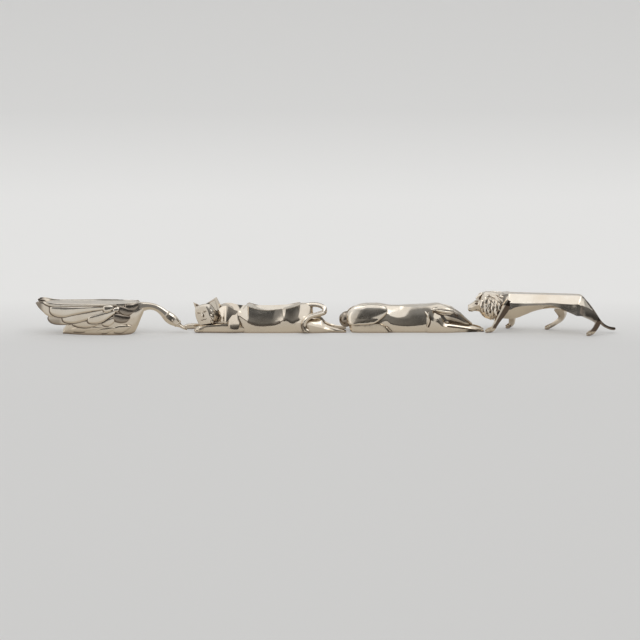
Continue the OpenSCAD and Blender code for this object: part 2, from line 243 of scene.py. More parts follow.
def loft(stations, bulges, steps=8, cuts=6, flowing=False):
    """A body from rows [x, y1, z1, y2, z2, ...], top to bottom, the same on both sides.
    `bulges` bows each panel: a number for the whole length or one for each station."""
    table = [list(s) for s in stations]
    bows = [np.broadcast_to(b, len(table)) for b in bulges]
    rows = eased([t + [b[i] for b in bows] for i, t in enumerate(table)], steps, flowing)
    rings = []
    width = len(table[0])
    for r in rows:
        half = side_profile(r[1:width].reshape(-1, 2), r[width:], cuts)
        near = [(r[0], -y, z) for y, z in half]
        far = [(r[0], y, z) for y, z in half[::-1]]
        if half[0][0] < 1e-3:
            far = far[:-1]
        if half[-1][0] < 1e-3:
            far = far[1:]
        rings.append(near + far)
    return skin(rings)


def panel(stations, side, bulges, inner, steps=6, cuts=6):
    """A raised part of one flank: rows [x, y, z, y, z, ...] from its top edge to its lowest.
    Its back lies at `inner` from the middle."""
    rings = []
    for r in eased(stations, steps):
        out = side_profile(r[1:].reshape(-1, 2), bulges, cuts)
        low, high = out[-1][1], out[0][1]
        depth = min(inner, out[0][0] - 0.5)
        rings.append([(r[0], side * y, z) for y, z in out]
                     + [(r[0], side * depth, low), (r[0], side * depth, low + 0.8 * (high - low))])
    return skin(rings)


print("a half section with two corners has", len(side_profile(np.eye(2), [0.1], 4)), "points")

# %% [markdown]
# ## Limbs and small beads
# Necks, legs and tails run along a path and are cut square to it. Blender's curves with a bevel
# would do this for a round limb, but these have flats and creases, so the ring is drawn here: an
# oval that can tighten to a diamond, or a section filed flat between given corners.

# %% Limbs
def oval(around=24, point=2.0):
    """A ring of unit size. `point` is 2 for an oval and 1 for a diamond."""
    ring = []
    for k in range(around):
        c, s = math.cos(2 * math.pi * k / around), math.sin(2 * math.pi * k / around)
        reach = (abs(c) ** point + abs(s) ** point) ** (-1 / point)
        ring.append((c * reach, s * reach))
    return ring


def filed(corners, cuts=3):
    """A ring of unit size from its right-hand corners [out, up], top to bottom, filed flat."""
    half = []
    for a, b in zip(corners[:-1], corners[1:]):
        half += [(a[0] + (b[0] - a[0]) * i / cuts, a[1] + (b[1] - a[1]) * i / cuts) for i in range(cuts)]
    half.append(corners[-1])
    return half + [(-out, up) for out, up in half[-2:0:-1]]


def limb(stations, steps=6, around=24, point=2.0, twist=0.0, section=None):
    """A limb through rows [x, y, z, half width, half depth], cut to a ring of unit size."""
    section = section or oval(around, point)
    rows = eased(stations, steps, flowing=True)
    rings = []
    for i, r in enumerate(rows):
        way = rows[min(i + 1, len(rows) - 1), :3] - rows[max(i - 1, 0), :3]
        way /= np.linalg.norm(way)
        side = np.array([0, 1, 0]) - way * way[1]
        side /= np.linalg.norm(side)
        up = np.cross(way, side)
        ring = []
        for out, high in section:
            u, v = out * r[3], high * r[4]
            ring.append(r[:3] + side * (u * math.cos(twist) - v * math.sin(twist))
                        + up * (u * math.sin(twist) + v * math.cos(twist)))
        rings.append(ring)
    return skin(rings)


def bead(centre, way, reach, half, point=2.0, around=12):
    """A small oval of metal, `reach` each way along `way`: an eye, a toe or a nostril."""
    centre, way = np.array(centre, float), np.array(way, float)
    way /= np.linalg.norm(way)
    ends = [(-1, 0.15), (-0.85, 0.53), (-0.5, 0.87), (0, 1), (0.5, 0.87), (0.85, 0.53), (1, 0.15)]
    return limb([[*(centre + way * reach * t), half[0] * w, half[1] * w] for t, w in ends], 1, around, point)


print("an oval ring has", len(oval()), "points")

# %% [markdown]
# ## Feathers and haunches
# A feather or an ear is a blade: a crowned strip between a low and a high edge. A slightly larger
# blade behind it, darkened, shows as a dark line round it: painted shade in the gap, with oxide. A
# haunch is a cushion that swells inside an outline.

# %% Blades and cushions
def blade(stations, side, thick=1.4, lip=0.35, steps=6, cuts=10, crown=0.3, lean=0.0):
    """A flat feather or ear: rows [x, low z, high z, outward y]. Its face is crowned and its
    back lies `thick` behind. `lean` pushes the low edge out and the high edge in."""
    rows = eased(stations, steps)
    rings = []
    for x, low, high, out in rows:
        front, rear = [], []
        for k in range(cuts + 1):
            s = k / cuts
            z = low + (high - low) * s
            bow = crown * (1 - (2 * s - 1) ** 2) - lip * abs(2 * s - 1) ** 6 + lean * (0.5 - s) * 2
            front.append((x, side * (out + bow), z))
        for s in (0.85, 0.5, 0.15):
            rear.append((x, side * (out - thick), low + (high - low) * s))
        rings.append(front + rear)
    return skin(rings)


def behind(rows, grow=0.55, back=0.35):
    """The rows of a blade a little larger and further in, to show as a painted shade line under it."""
    return [[x - grow, low - grow, high - 0.3, out - back] for x, low, high, out in rows]


def cushion(outline, centre, inner, outer, side, around=72, crown=0.75, layers=14, edge=3.0, lip=0.0,
            fall=lambda x, z: 0 * x):
    """A swelling panel: a closed outline in [x, z], crowned from y = inner to y = outer. `lip`
    is the share of the height lost in the rounding at the rim, and `fall` is how far the
    surface falls back at each place."""
    loop = np.array(outline + outline[:1], float)
    loop = np.column_stack([loop, np.zeros(len(loop))])
    dense = eased(np.vstack([loop[-2], loop, loop[1]]), 8, flowing=True)[8:-8, :2]
    gaps = np.concatenate([[0], np.cumsum(np.linalg.norm(np.diff(dense, axis=0), axis=1))])
    at = np.linspace(0, gaps[-1], around, endpoint=False)
    rim = np.stack([np.interp(at, gaps, dense[:, 0]), np.interp(at, gaps, dense[:, 1])], 1)
    centre = np.array(centre, float)
    rings = [np.column_stack([rim[:, 0], np.full(around, side * inner), rim[:, 1]])]
    for k in range(layers + 1):
        reach = 1 - (k / layers) ** 1.6 * 0.97
        height = crown + (1 - crown) * (1 - reach**edge) - lip * reach**18
        p = centre + (rim - centre) * reach
        out = inner + (outer - inner) * height - fall(p[:, 0], p[:, 1])
        rings.append(np.column_stack([p[:, 0], side * out, p[:, 1]]))
    return skin(rings)


print("a line blade starts at", behind([[0, 0, 1, 1]])[0])

# %% [markdown]
# ## Wiring shader nodes
# The metal, the paper and the room's light are each a small network of nodes. These helpers add
# one node and join it, so the recipes below read from top to bottom.

# %% Shader wiring
class Recipe:
    """Adds nodes to one shader tree. Every method returns the socket that carries the result."""

    def __init__(self, tree):
        self.nodes, self.links = tree.nodes, tree.links

    def add(self, kind, links_in):
        node = self.nodes.new("ShaderNode" + kind)
        for key, value in links_in.items():
            self.feed(node.inputs[key], value)
        return node

    def feed(self, socket, value):
        if isinstance(value, bpy.types.NodeSocket):
            self.links.new(value, socket)
        else:
            socket.default_value = value

    def maths(self, kind, a, b):
        node = self.add("Math", {0: a, 1: b})
        node.operation = kind
        return node.outputs[0]

    def spread(self, value, low, high, to_low, to_high, curve="LINEAR"):
        node = self.add("MapRange", {"Value": value, "From Min": low, "From Max": high, "To Min": to_low,
                                     "To Max": to_high})
        node.interpolation_type = curve
        return node.outputs[0]

    def blend(self, a, b, amount):
        node = self.nodes.new("ShaderNodeMix")
        node.data_type = "RGBA"
        for socket, value in ((0, amount), (6, a), (7, b)):
            self.feed(node.inputs[socket], value)
        return node.outputs[2]

    def axis(self, vector, letter):
        return self.add("SeparateXYZ", {0: vector}).outputs[letter]

    def noise(self, where, scale, detail, stretch=(1, 1, 1)):
        turned = self.add("Mapping", {"Vector": where, "Scale": stretch})
        values = {"Vector": turned.outputs[0], "Scale": scale, "Detail": detail}
        return self.add("TexNoise", values).outputs[0]

    def bump(self, height, strength, distance):
        return self.add("Bump", {"Height": height, "Strength": strength, "Distance": distance})


print("wiring helpers ready")

# %% [markdown]
# ## Silver plate
# Plated cast metal is a mirror with a past: cream where the silver has warmed, and full of fine
# rubbing marks. A metallic shader does the mirror. Noise moves its tint and roughness by a little.
# Painted shade makes the metal warmer and darker towards the table and on its undersides, and an
# occlusion term paints shade and some tarnish brown into the creases. A point attribute paints
# darker shade and dark reflections on chosen places, and darkens the eyes and lips. A low, wide
# bump gives the slow ripple of a hand-finished casting.

# %% Silver plate
BRIGHT_PLATE, CREAM_PLATE = (0.90, 0.83, 0.725, 1), (0.82, 0.725, 0.60, 1)
# The next three colours are painted: shade low down, shade with some tarnish in the creases, and darker shade
# where the point attribute asks.
LOW_SHADE_PLATE, CREASE_SHADE_AND_TARNISH, SHADE_AND_OXIDE = (0.66, 0.555, 0.42, 1), (0.17, 0.115, 0.08, 1), (0.13, 0.095, 0.07, 1)


def silver_plate():
    mat = bpy.data.materials.new("silver_plate")
    mat.use_nodes = True
    mat.node_tree.nodes.clear()
    make = Recipe(mat.node_tree)
    shader = make.add("BsdfPrincipled", {"Metallic": 1.0})
    make.add("OutputMaterial", {0: shader.outputs[0]})
    where = make.add("TexCoord", {}).outputs["Object"]
    plate = make.blend(BRIGHT_PLATE, CREAM_PLATE, make.spread(make.noise(where, 90, 3), 0.35, 0.7, 0, 1))
    facing = make.axis(make.add("NewGeometry", {}).outputs["Normal"], "Z")
    # Painted shade: the metal turns warmer and darker near the table and on its undersides, less so on tops.
    near_table_shade = make.spread(make.axis(where, "Z"), 0.003, 0.013, 0.85, 0.0)
    underside_shade = make.spread(facing, -0.2, 0.0, 1.0, 0.0)
    less_on_tops = make.spread(facing, 0.25, 0.7, 1.0, 0.3)
    painted_low_shade = make.maths("MULTIPLY", make.maths("MAXIMUM", near_table_shade, underside_shade), less_on_tops)
    warm = make.blend(plate, LOW_SHADE_PLATE, painted_low_shade)
    # Painted shade in the creases, from an occlusion term, with some tarnish.
    crease = make.add("AmbientOcclusion", {"Distance": 0.0026})
    crease.samples = 8
    crease_shaded = make.blend(warm, CREASE_SHADE_AND_TARNISH, make.spread(crease.outputs["AO"], 0.3, 0.8, 0.95, 0.0))
    # A point attribute paints darker shade and dark reflections on chosen places, and darkens the eyes and
    # lips.
    darkened = make.add("Attribute", {})
    darkened.attribute_name = "shade_and_oxide"
    make.feed(shader.inputs["Base Color"], make.blend(crease_shaded, SHADE_AND_OXIDE, darkened.outputs["Fac"]))
    rubbing = make.noise(where, 260, 4, (0.4, 1, 1))
    make.feed(shader.inputs["Roughness"], make.spread(rubbing, 0.3, 0.75, 0.07, 0.19))
    ripple = make.bump(make.noise(where, 170, 1), 0.25, 0.0004)
    scratches = make.bump(make.noise(where, 2600, 2, (0.15, 1, 1)), 0.05, 0.0002)
    make.feed(scratches.inputs["Normal"], ripple.outputs[0])
    make.feed(shader.inputs["Normal"], scratches.outputs[0])
    return mat


SILVER = silver_plate()
print("metal ready:", SILVER.name, len(SILVER.node_tree.nodes), "nodes")

# %% [markdown]
# ## Turning a shape into a piece
# A piece is one mesh at the origin that rides on its animal's body. It stands for the solids
# named in the call, or for the solid of its own name. Nothing reaches below the table. Creases
# stay crisp, because every edge sharper than a set angle is marked, as a filed edge would be.

# %% Pieces
CREASE_ANGLE = math.radians(24)
WELD = 2e-6


def dress(mesh, name, figure, nodes=()):
    """Closes and smooths a placed mesh, makes it a metal piece and ties it to the frame."""
    bm = bmesh.new()
    bm.from_mesh(mesh)
    for v in bm.verts:
        v.co.z = max(v.co.z, 0)
    bmesh.ops.remove_doubles(bm, verts=bm.verts, dist=WELD)
    bmesh.ops.dissolve_degenerate(bm, edges=bm.edges, dist=WELD / 2)
    bmesh.ops.recalc_face_normals(bm, faces=bm.faces)
    bm.to_mesh(mesh)
    bm.free()
    for p in mesh.polygons:
        p.use_smooth = True
    mesh.set_sharp_from_angle(angle=CREASE_ANGLE)
    mesh.materials.clear()
    mesh.materials.append(SILVER)
    obj = bpy.data.objects.new(name, mesh)
    bpy.context.scene.collection.objects.link(obj)
    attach(obj, figure.body)
    if nodes:
        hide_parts(*nodes)
    print(name, len(mesh.polygons), "faces")
    return obj


def piece(name, figure, shape, *nodes, shade_and_oxide=None):
    """A piece from points in the figure's millimetres and faces. Its last argument gives how dark the
    metal is painted at points x, y, z, for painted shade and the dark eyes: a function of them or one number."""
    if name in frame["nodes"]:
        nodes = (name,)
    points = np.asarray(shape[0], float)
    mesh = bpy.data.meshes.new(name)
    mesh.from_pydata(figure.place(points).tolist(), [], shape[1])
    if shade_and_oxide is not None:
        dark = shade_and_oxide(*points.T) if callable(shade_and_oxide) else np.full(len(points), float(shade_and_oxide))
        values = mesh.attributes.new("shade_and_oxide", "FLOAT", "POINT").data
        values.foreach_set("value", np.asarray(dark, np.float32))
    return dress(mesh, name, figure, nodes)


print("creases sharper than", round(math.degrees(CREASE_ANGLE)), "degrees stay crisp")

# %% [markdown]
# ## Locks from Geometry Nodes
# The lion's mane and the cat's cheek ruff repeat one modelled lock all over a surface. Each could
# be pushed out by hand, but a node tree keeps them alike and easy to change. The tree draws one
# lock of unit length along a bowed and waved curve, and sets a copy on every seat. A seat is a
# point with a way out of the surface, an aim along it and a length. Sizes vary by a seeded
# amount, so the rows look chased by hand and come out the same each run.

# %% Lock tree
def lock_tree(name):
    """The node tree that sets one lock on each seat, with its sizes as named inputs."""
    tree = bpy.data.node_groups.new(name, "GeometryNodeTree")
    nodes, links = tree.nodes, tree.links
    tree.interface.new_socket(name="Seats", in_out="INPUT", socket_type="NodeSocketGeometry")
    sizes = {"Width": 0.2, "Flatness": 0.6, "Rise": 0.2, "Wave": 0.05, "Jitter": 0.1}
    counts = {"Rings": 12, "Sides": 8, "Seed": 1}
    for title, value in (sizes | counts).items():
        kind = "NodeSocketInt" if title in counts else "NodeSocketFloat"
        tree.interface.new_socket(name=title, in_out="INPUT", socket_type=kind).default_value = value
    tree.interface.new_socket(name="Locks", in_out="OUTPUT", socket_type="NodeSocketGeometry")
    given = nodes.new("NodeGroupInput").outputs
    out = nodes.new("NodeGroupOutput")

    def node(kind, links_in, **settings):
        n = nodes.new(kind)
        for key, value in settings.items():
            setattr(n, key, value)
        for key, value in links_in.items():
            if isinstance(value, bpy.types.NodeSocket):
                links.new(value, n.inputs[key])
            else:
                n.inputs[key].default_value = value
        return n.outputs

    def maths(kind, a, b=0.0):
        return node("ShaderNodeMath", {0: a, 1: b}, operation=kind)[0]

    def triple(x, y, z):
        return node("ShaderNodeCombineXYZ", {0: x, 1: y, 2: z})[0]

    spine = node("GeometryNodeCurveQuadraticBezier", {
        "Resolution": given["Rings"], "Start": (0, 0, 0), "Middle": triple(0.4, 0.0, given["Rise"]),
        "End": (1, 0, 0)})[0]
    along = node("GeometryNodeSplineParameter", {})["Factor"]
    sway = maths("MULTIPLY", maths("SINE", maths("MULTIPLY", along, 2 * math.pi)), given["Wave"])
    waved = node("GeometryNodeSetPosition", {"Geometry": spine, "Offset": triple(0.0, sway, 0.0)})[0]
    swell = maths("SINE", maths("MULTIPLY", maths("ADD", maths("MULTIPLY", along, 0.86), 0.12), math.pi))
    girth = maths("MULTIPLY", maths("POWER", swell, 0.8), given["Width"])
    section = node("GeometryNodeCurvePrimitiveCircle", {"Resolution": given["Sides"], "Radius": 1.0})[0]
    tube = node("GeometryNodeCurveToMesh", {
        "Curve": waved, "Profile Curve": section, "Scale": girth, "Fill Caps": True})[0]
    lock = node("GeometryNodeTransform", {"Geometry": tube, "Scale": triple(1.0, 1.0, given["Flatness"])})[0]

    def seat(key, kind):
        return node("GeometryNodeInputNamedAttribute", {"Name": key}, data_type=kind)["Attribute"]

    ways = {0: seat("out", "FLOAT_VECTOR"), 1: seat("aim", "FLOAT_VECTOR")}
    turn = node("FunctionNodeAxesToRotation", ways, primary_axis="Z", secondary_axis="X")[0]
    least, most = maths("SUBTRACT", 1.0, given["Jitter"]), maths("ADD", 1.0, given["Jitter"])
    chance = node("FunctionNodeRandomValue", {"Seed": given["Seed"], 2: least, 3: most}, data_type="FLOAT")[1]
    copies = node("GeometryNodeInstanceOnPoints", {
        "Points": given["Seats"], "Instance": lock, "Rotation": turn,
        "Scale": maths("MULTIPLY", chance, seat("length", "FLOAT"))})[0]
    real = node("GeometryNodeRealizeInstances", {"Geometry": copies})[0]
    links.new(node("GeometryNodeSetMaterial", {"Geometry": real, "Material": SILVER})[0], out.inputs[0])
    return tree


LOCKS = lock_tree("locks")
print("lock tree has", len(LOCKS.nodes), "nodes")

# %% [markdown]
# ## Finding the seats
# A seat lies where a line straight across the animal meets its skin, so the locks follow the
# body they grow on and a change of the body carries them with it.

# %% Seats
WELL_OUTSIDE = 60


def seats_on(shape, spots):
    """Seats on both sides of a shape. Spots are rows [x, z, aim x, aim z, length]."""
    points, faces = shape
    skin_tree = BVHTree.FromPolygons([Vector(p) for p in points], faces)
    seats = []
    for side in (-1, 1):
        for x, z, aim_x, aim_z, length in spots:
            start, way = Vector((x, side * WELL_OUTSIDE, z)), Vector((0, -side, 0))
            hit, normal = skin_tree.ray_cast(start, way)[:2]
            if hit is not None:
                if normal.y * side < 0:
                    normal = -normal
                seats.append((hit, normal, Vector((aim_x, 0, aim_z)), length))
    return seats


def locks(name, figure, seats, **inputs):
    """Grows one piece of locks on the seats. Each input is given by its name in the tree."""
    mesh = bpy.data.meshes.new(name + "_seats")
    roots = np.array([s[0] for s in seats])
    mesh.from_pydata(figure.place(roots).tolist(), [], [])
    for key, column in (("out", 1), ("aim", 2)):
        ways = (figure.place(roots + np.array([s[column] for s in seats])) - figure.place(roots)) / MM
        mesh.attributes.new(key, "FLOAT_VECTOR", "POINT").data.foreach_set("vector", ways.ravel())
    mesh.attributes.new("length", "FLOAT", "POINT").data.foreach_set("value", [s[3] * MM for s in seats])
    host = bpy.data.objects.new(name + "_seats", mesh)
    bpy.context.scene.collection.objects.link(host)
    modifier = host.modifiers.new("locks", "NODES")
    modifier.node_group = LOCKS
    for item in LOCKS.interface.items_tree:
        if item.in_out == "INPUT" and item.name in inputs:
            modifier[item.identifier] = inputs[item.name]
    grown = bpy.data.meshes.new_from_object(host.evaluated_get(bpy.context.evaluated_depsgraph_get()))
    bpy.data.objects.remove(host)
    print(name, len(seats), "seats")
    return dress(grown, name, figure)


flat_skin = [(-1, 1, -1), (1, 1, -1), (1, 1, 1), (-1, 1, 1)], [(0, 1, 2, 3)]
print("a seat on a flat skin:", seats_on(flat_skin, [[0, 0, 1, 0, 1]])[0][0])

# %% [markdown]
# ## Swan: hull, back and neck
# The swan sits like a boat on a narrow foot, with a level back for the knife. The hull is a
# loft whose corners are the back's edge, the shoulder and the belly. The neck is one hooped
# limb with a crease along each side, and the head and beak carry on from it.

# %% Swan body
swan_hull = [
    # x, back y z, shoulder y z, belly y z, foot y z
    [-31, 1.6, 2.8, 2.8, 2.2, 3.4, 1.2, 3.2, 0],
    [-29.5, 1.8, 4.8, 3.2, 4, 3.9, 1.8, 3.4, 0],
    [-28, 2.4, 8, 4, 6, 4.6, 2.4, 3.9, 0],
    [-24, 3.6, 15, 5.4, 10, 6.2, 4, 5.4, 0],
    [-18, 3.8, 19.6, 6.2, 13, 7.6, 5.4, 6.9, 0],
    [-10, 4, 19.8, 6.6, 14, 8.5, 6.6, 7.9, 0],
    [0, 4, 19.9, 6.8, 15, 8.8, 8, 8.3, 0],
    [7, 3.8, 20, 7.4, 16, 8.5, 8.5, 7.6, 0],
    [11.5, 3.4, 20.2, 6.7, 16.2, 7.1, 8.7, 5.6, 0],
    [14.5, 3, 20.2, 5.1, 16.4, 5.3, 9, 3, 0.8],
    [16.6, 2.5, 20.1, 3.7, 16.6, 3.9, 10, 2, 4.2],
    [18.6, 2.1, 19.8, 2.8, 16.8, 2.8, 12, 1.4, 9],
    [20.6, 1.8, 19.4, 2.4, 17, 2.2, 15, 1.2, 13.6],
]
piece("swan_body", SWAN, loft(swan_hull, [0.02, 0.06, 0.05], steps=6))

swan_saddle = [
    # x, top y z, edge y z, keel y z
    [-46.4, 4.6, 20.2, 5.2, 19.6, 3.6, 18.8],
    [-42, 5.2, 20.2, 5.9, 19.2, 4.4, 14.8],
    [-37, 5.6, 20.2, 6.3, 19, 4.8, 9.8],
    [-31, 5.8, 20.1, 6.5, 18.8, 5, 7.2],
    [-22, 6, 20, 6.6, 18.6, 5.2, 7],
    [-8, 6.2, 20, 6.8, 18.6, 5.2, 8],
    [6, 6, 20, 6.6, 18.6, 5, 9],
    [14, 4.6, 20.1, 5.2, 18.8, 3.8, 12],
]
piece("swan_back", SWAN, loft(swan_saddle, [0.05, 0.03], steps=5), "swan_tail")

swan_neck = [
    # x, y, z, half width, half height
    [12, 0, 15.2, 4.6, 5], [17, 0, 16.4, 3.3, 3.9], [20.6, 0, 17.1, 2.7, 3],
    [24, 0, 17.3, 2.4, 2.4], [27.5, 0, 16.7, 2.3, 2.2], [30.6, 0, 15.2, 2.4, 2.3],
    [33, 0, 13.3, 2.6, 2.6], [35, 0, 11.4, 2.9, 3], [36.4, 0, 10.2, 2.9, 3],
]
neck_ring = filed([(0, 1), (0.5, 0.93), (0.78, 0.7), (1, -0.05), (0.72, -0.72), (0, -1)])
piece("swan_neck", SWAN, limb(swan_neck, section=neck_ring))
swan_head = [
    [34.2, 0, 12.2, 2.5, 2.8], [36.2, 0, 10.4, 3, 3.5], [38.6, 0, 8.6, 3.1, 3.6],
    [40.8, 0, 7, 2.8, 3], [42.6, 0, 5.6, 2.1, 2.1], [43.8, 0, 4.7, 1.5, 1.4],
]
head_ring = filed([(0, 1), (0.5, 0.9), (0.82, 0.62), (1, -0.2), (0.6, -0.85), (0, -1)])
collar_steps = ((0, 0.9), (0.25, 1), (0.5, 1), (0.75, 0.9))
swan_collars = [limb([[x + t, 0, z - t, share * w, share * h] for t, share in collar_steps],
                     3, section=head_ring)
                for x, z, w, h in ((34.6, 12.1, 3.0, 3.3), (41.9, 6.3, 2.6, 2.8))]
swan_eyes = [bead([39.3, side * 2.75, 8.4], [0.7, 0, -0.7], 0.9, (0.7, 0.6)) for side in (-1, 1)]
piece("swan_head", SWAN, several(limb(swan_head, section=head_ring), *swan_collars, *swan_eyes))
swan_beak = [[41.8, 0, 5.9, 1.9, 1.6], [44.4, 0, 4.3, 1.8, 1.2], [46.8, 0, 2.9, 1.5, 0.9],
             [48.2, 0, 2.1, 0.9, 0.5]]
piece("swan_beak", SWAN, limb(swan_beak, around=24, point=1.6))

# %% [markdown]
# ## Swan: feathers
# The wing is built as a real one lies: a plain wall first, then long flight feathers that
# overlap like shingles, the coverts over their roots and three scallops at the shoulder, darkened
# with a painted dark reflection. Each is a blade with its own low edge, high edge and distance out from the
# middle.

# %% Swan wings
wing_wall = [
    # x, low z, high z, outwards y, as in every blade below
    [-47, 19.8, 20.6, 6], [-44, 16.4, 21.4, 6.6], [-40, 12.4, 20.8, 7.2],
    [-35, 9, 20.3, 7.6], [-28, 8, 20, 8], [-18, 7.6, 19.9, 8.2],
    [-6, 8.4, 20, 8.4], [5, 10.4, 20.2, 8], [12, 13.4, 20.2, 6.6], [15, 16.6, 19.8, 5.4],
]
primaries = [
    [[-47.6, 20.2, 20.9, 6.6], [-46, 18, 21.7, 7.4], [-43.6, 15.6, 21.8, 8], [-40.8, 13, 20.8, 8.3],
     [-38, 11.8, 19, 8.4], [-33, 11.8, 16.5, 8.4]],
    [[-39.9, 10.6, 11.4, 6.6], [-39.2, 9.4, 12.4, 7.2], [-37.2, 7.9, 13, 7.7], [-33.5, 7.1, 13, 8],
     [-29.5, 7, 12, 8.1], [-24, 8, 11, 8.1]],
]
flights = [
    [[-42.6, 20.9, 21.6, 8], [-41, 20, 21.2, 8.9], [-38, 19.1, 20.5, 9.6], [-33, 18.8, 20, 9.9],
     [-20, 19, 20, 10.1], [-6, 19.3, 20.2, 10.1], [4, 19.4, 20.2, 9.4]],
    [[-38.9, 16.6, 17.4, 8.2], [-38.3, 15.1, 18.4, 9.2], [-36.6, 13.5, 18.8, 9.7], [-33, 12.2, 18.7, 10],
     [-30, 12, 18.5, 10.1], [-24, 13.3, 18.6, 10.2], [-14, 15.3, 18.9, 10.2],
     [-4, 16.8, 19.1, 10.1], [2, 17.7, 18.9, 9.5]],
    [[-30.8, 10.6, 11.6, 8.4], [-30, 9.3, 12.6, 9.1], [-28, 8.4, 13.4, 9.4], [-24, 8, 14.2, 9.5],
     [-18, 9.2, 15.3, 9.7], [-10, 12, 16.6, 9.8], [-3, 14.8, 17.6, 9.7], [2, 16.8, 18.2, 9.4]],
    [[-14.7, 9.8, 10.6, 9.2], [-14.2, 8.7, 11.8, 10], [-12.4, 8, 12.7, 10.4], [-9, 7.9, 13.7, 10.6],
     [-5, 9, 14.9, 10.6], [-1, 11.6, 15.8, 10.4], [3, 14.4, 16.6, 9.9]],
]
coverts = [
    [[-24, 6.4, 7.6, 7.8], [-21, 5.4, 9.4, 8.3], [-16, 4.9, 10.4, 8.8], [-11, 5.6, 9.6, 9],
     [-7.6, 6.8, 8.4, 8.8]],
    [[-5.4, 7, 7.8, 9], [-3.8, 6.1, 9.2, 9.3], [-1.2, 5.9, 11.2, 9.4], [1.4, 7.4, 12, 9.2],
     [3, 9.4, 11.6, 8.9]],
]
scallops = [
    [[1, 12, 13.6, 8.7], [2, 10.4, 14.4, 9.3], [4.4, 9, 14.2, 9.7], [7.6, 8.5, 13.4, 9.6],
     [10.6, 9, 12.9, 8.9], [12.6, 10.8, 12.2, 8]],
    [[5.2, 17, 18.4, 8.4], [6.2, 14.9, 19, 8.9], [8.2, 13.3, 18.6, 9.1], [11, 12.9, 17.6, 8.7],
     [13.6, 13.8, 16.8, 7.8], [15.2, 15.4, 16.4, 6.8]],
    [[9.2, 18.4, 19.8, 7.8], [10.2, 17, 20, 8.2], [12.2, 16.1, 20.1, 8], [14.8, 16, 20, 7],
     [16.8, 17.2, 20.4, 5.8], [17.8, 18.8, 19.8, 5]],
]
wrist = [
    [[-4.6, 17, 19, 9.8], [-4, 15.4, 20, 10.3], [-2.4, 14.8, 20.1, 10.6], [-0.4, 15.4, 20, 10.5],
     [1.6, 16.8, 19.6, 9.8]],
    [[1.6, 16.4, 17.6, 9.5], [2.6, 15.3, 18.3, 9.9], [4.2, 15.3, 18.6, 9.9], [5.6, 16.4, 18.2, 9.4]],
]


def shaded_tips(x, y, z):
    """The wing tips and the lower ends of the long feathers are darkened with painted shade."""
    tips = np.clip((-42.5 - x) / 3, 0, 0.7)
    return np.maximum(tips, 0.5 * np.clip((-30 - x) / 3, 0, 1) * np.clip((12.4 - z) / 3, 0, 1))


for name, side in (("swan_wing_right", -1), ("swan_wing_left", 1)):
    wall = blade(wing_wall, side, thick=2.6, crown=0.0, lip=0.2)
    long_ones = [blade(b, side, crown=0.06, lip=0.35, lean=0.03) for b in primaries + flights]
    short_ones = [blade(b, side, crown=0.12, lip=0.4, lean=0.0) for b in coverts]
    knobs = [blade(b, side, crown=0.3, lip=0.7, lean=0.35, thick=1.8) for b in wrist]
    piece(name, SWAN, several(wall, *long_ones, *short_ones, *knobs), shade_and_oxide=shaded_tips)
    # The scallops carry a painted dark reflection.
    dark_ones = [blade(b, side, crown=0.06, lip=0.5, lean=0.24, thick=1.8) for b in scallops]
    piece(name + "_scallops", SWAN, several(*dark_ones), name, shade_and_oxide=0.66)
    # The blades behind the feathers show painted shade in the gaps, with oxide.
    outlined = primaries[1:] + flights + coverts + scallops + wrist
    lines = [blade(behind(b), side, crown=0.0, lip=0.1) for b in outlined]
    piece(name + "_lines", SWAN, several(*lines), name, shade_and_oxide=0.9)

# %% [markdown]
# ## Swan: body feathers
# Below the wing only three broad feathers are chased, each a low blade with a painted shade line
# under it, so the hull keeps its smooth bowl.

# %% Swan body feathers
body_feathers = [
    [[-27.4, 2.6, 3.2, 4.6], [-25, 1.7, 4.6, 5.7], [-20, 1.6, 6.2, 7.3], [-14, 2.4, 6.6, 8.2],
     [-8, 3.6, 6, 8.6], [-4.6, 4.6, 5.4, 8.7]],
    [[-9.6, 2, 3, 8.2], [-8, 1, 4.2, 8.4], [-4, 1, 5.4, 8.8], [0.6, 2.6, 5.8, 9],
     [3, 4.2, 5.4, 9]],
    [[1, 3, 4, 8.8], [2.6, 1.6, 5.8, 8.9], [6, 1.4, 7, 8.9], [9.4, 2.6, 7, 8.5],
     [12, 4.4, 6.4, 7.8], [13.4, 5.4, 6, 7.2]],
]
for name, side in (("right", -1), ("left", 1)):
    chased = [blade(b, side, crown=0.25, lip=0.5) for b in body_feathers]
    piece("swan_body_feathers_" + name, SWAN, several(*chased), "swan_body")
    under = [blade(behind(b, 0.4, 0.3), side, crown=0.1, lip=0.1) for b in body_feathers]
    piece("swan_body_lines_" + name, SWAN, several(*under), "swan_body", shade_and_oxide=0.8)

# %% [markdown]
# ## Cat: body
# The cat lies stretched out. Its back dips to a saddle between two peaks, and each flank is a
# hollow lens that ends in a point at the shoulder. The lens is the panel between the ridge and
# the lower edge, bowed inwards.

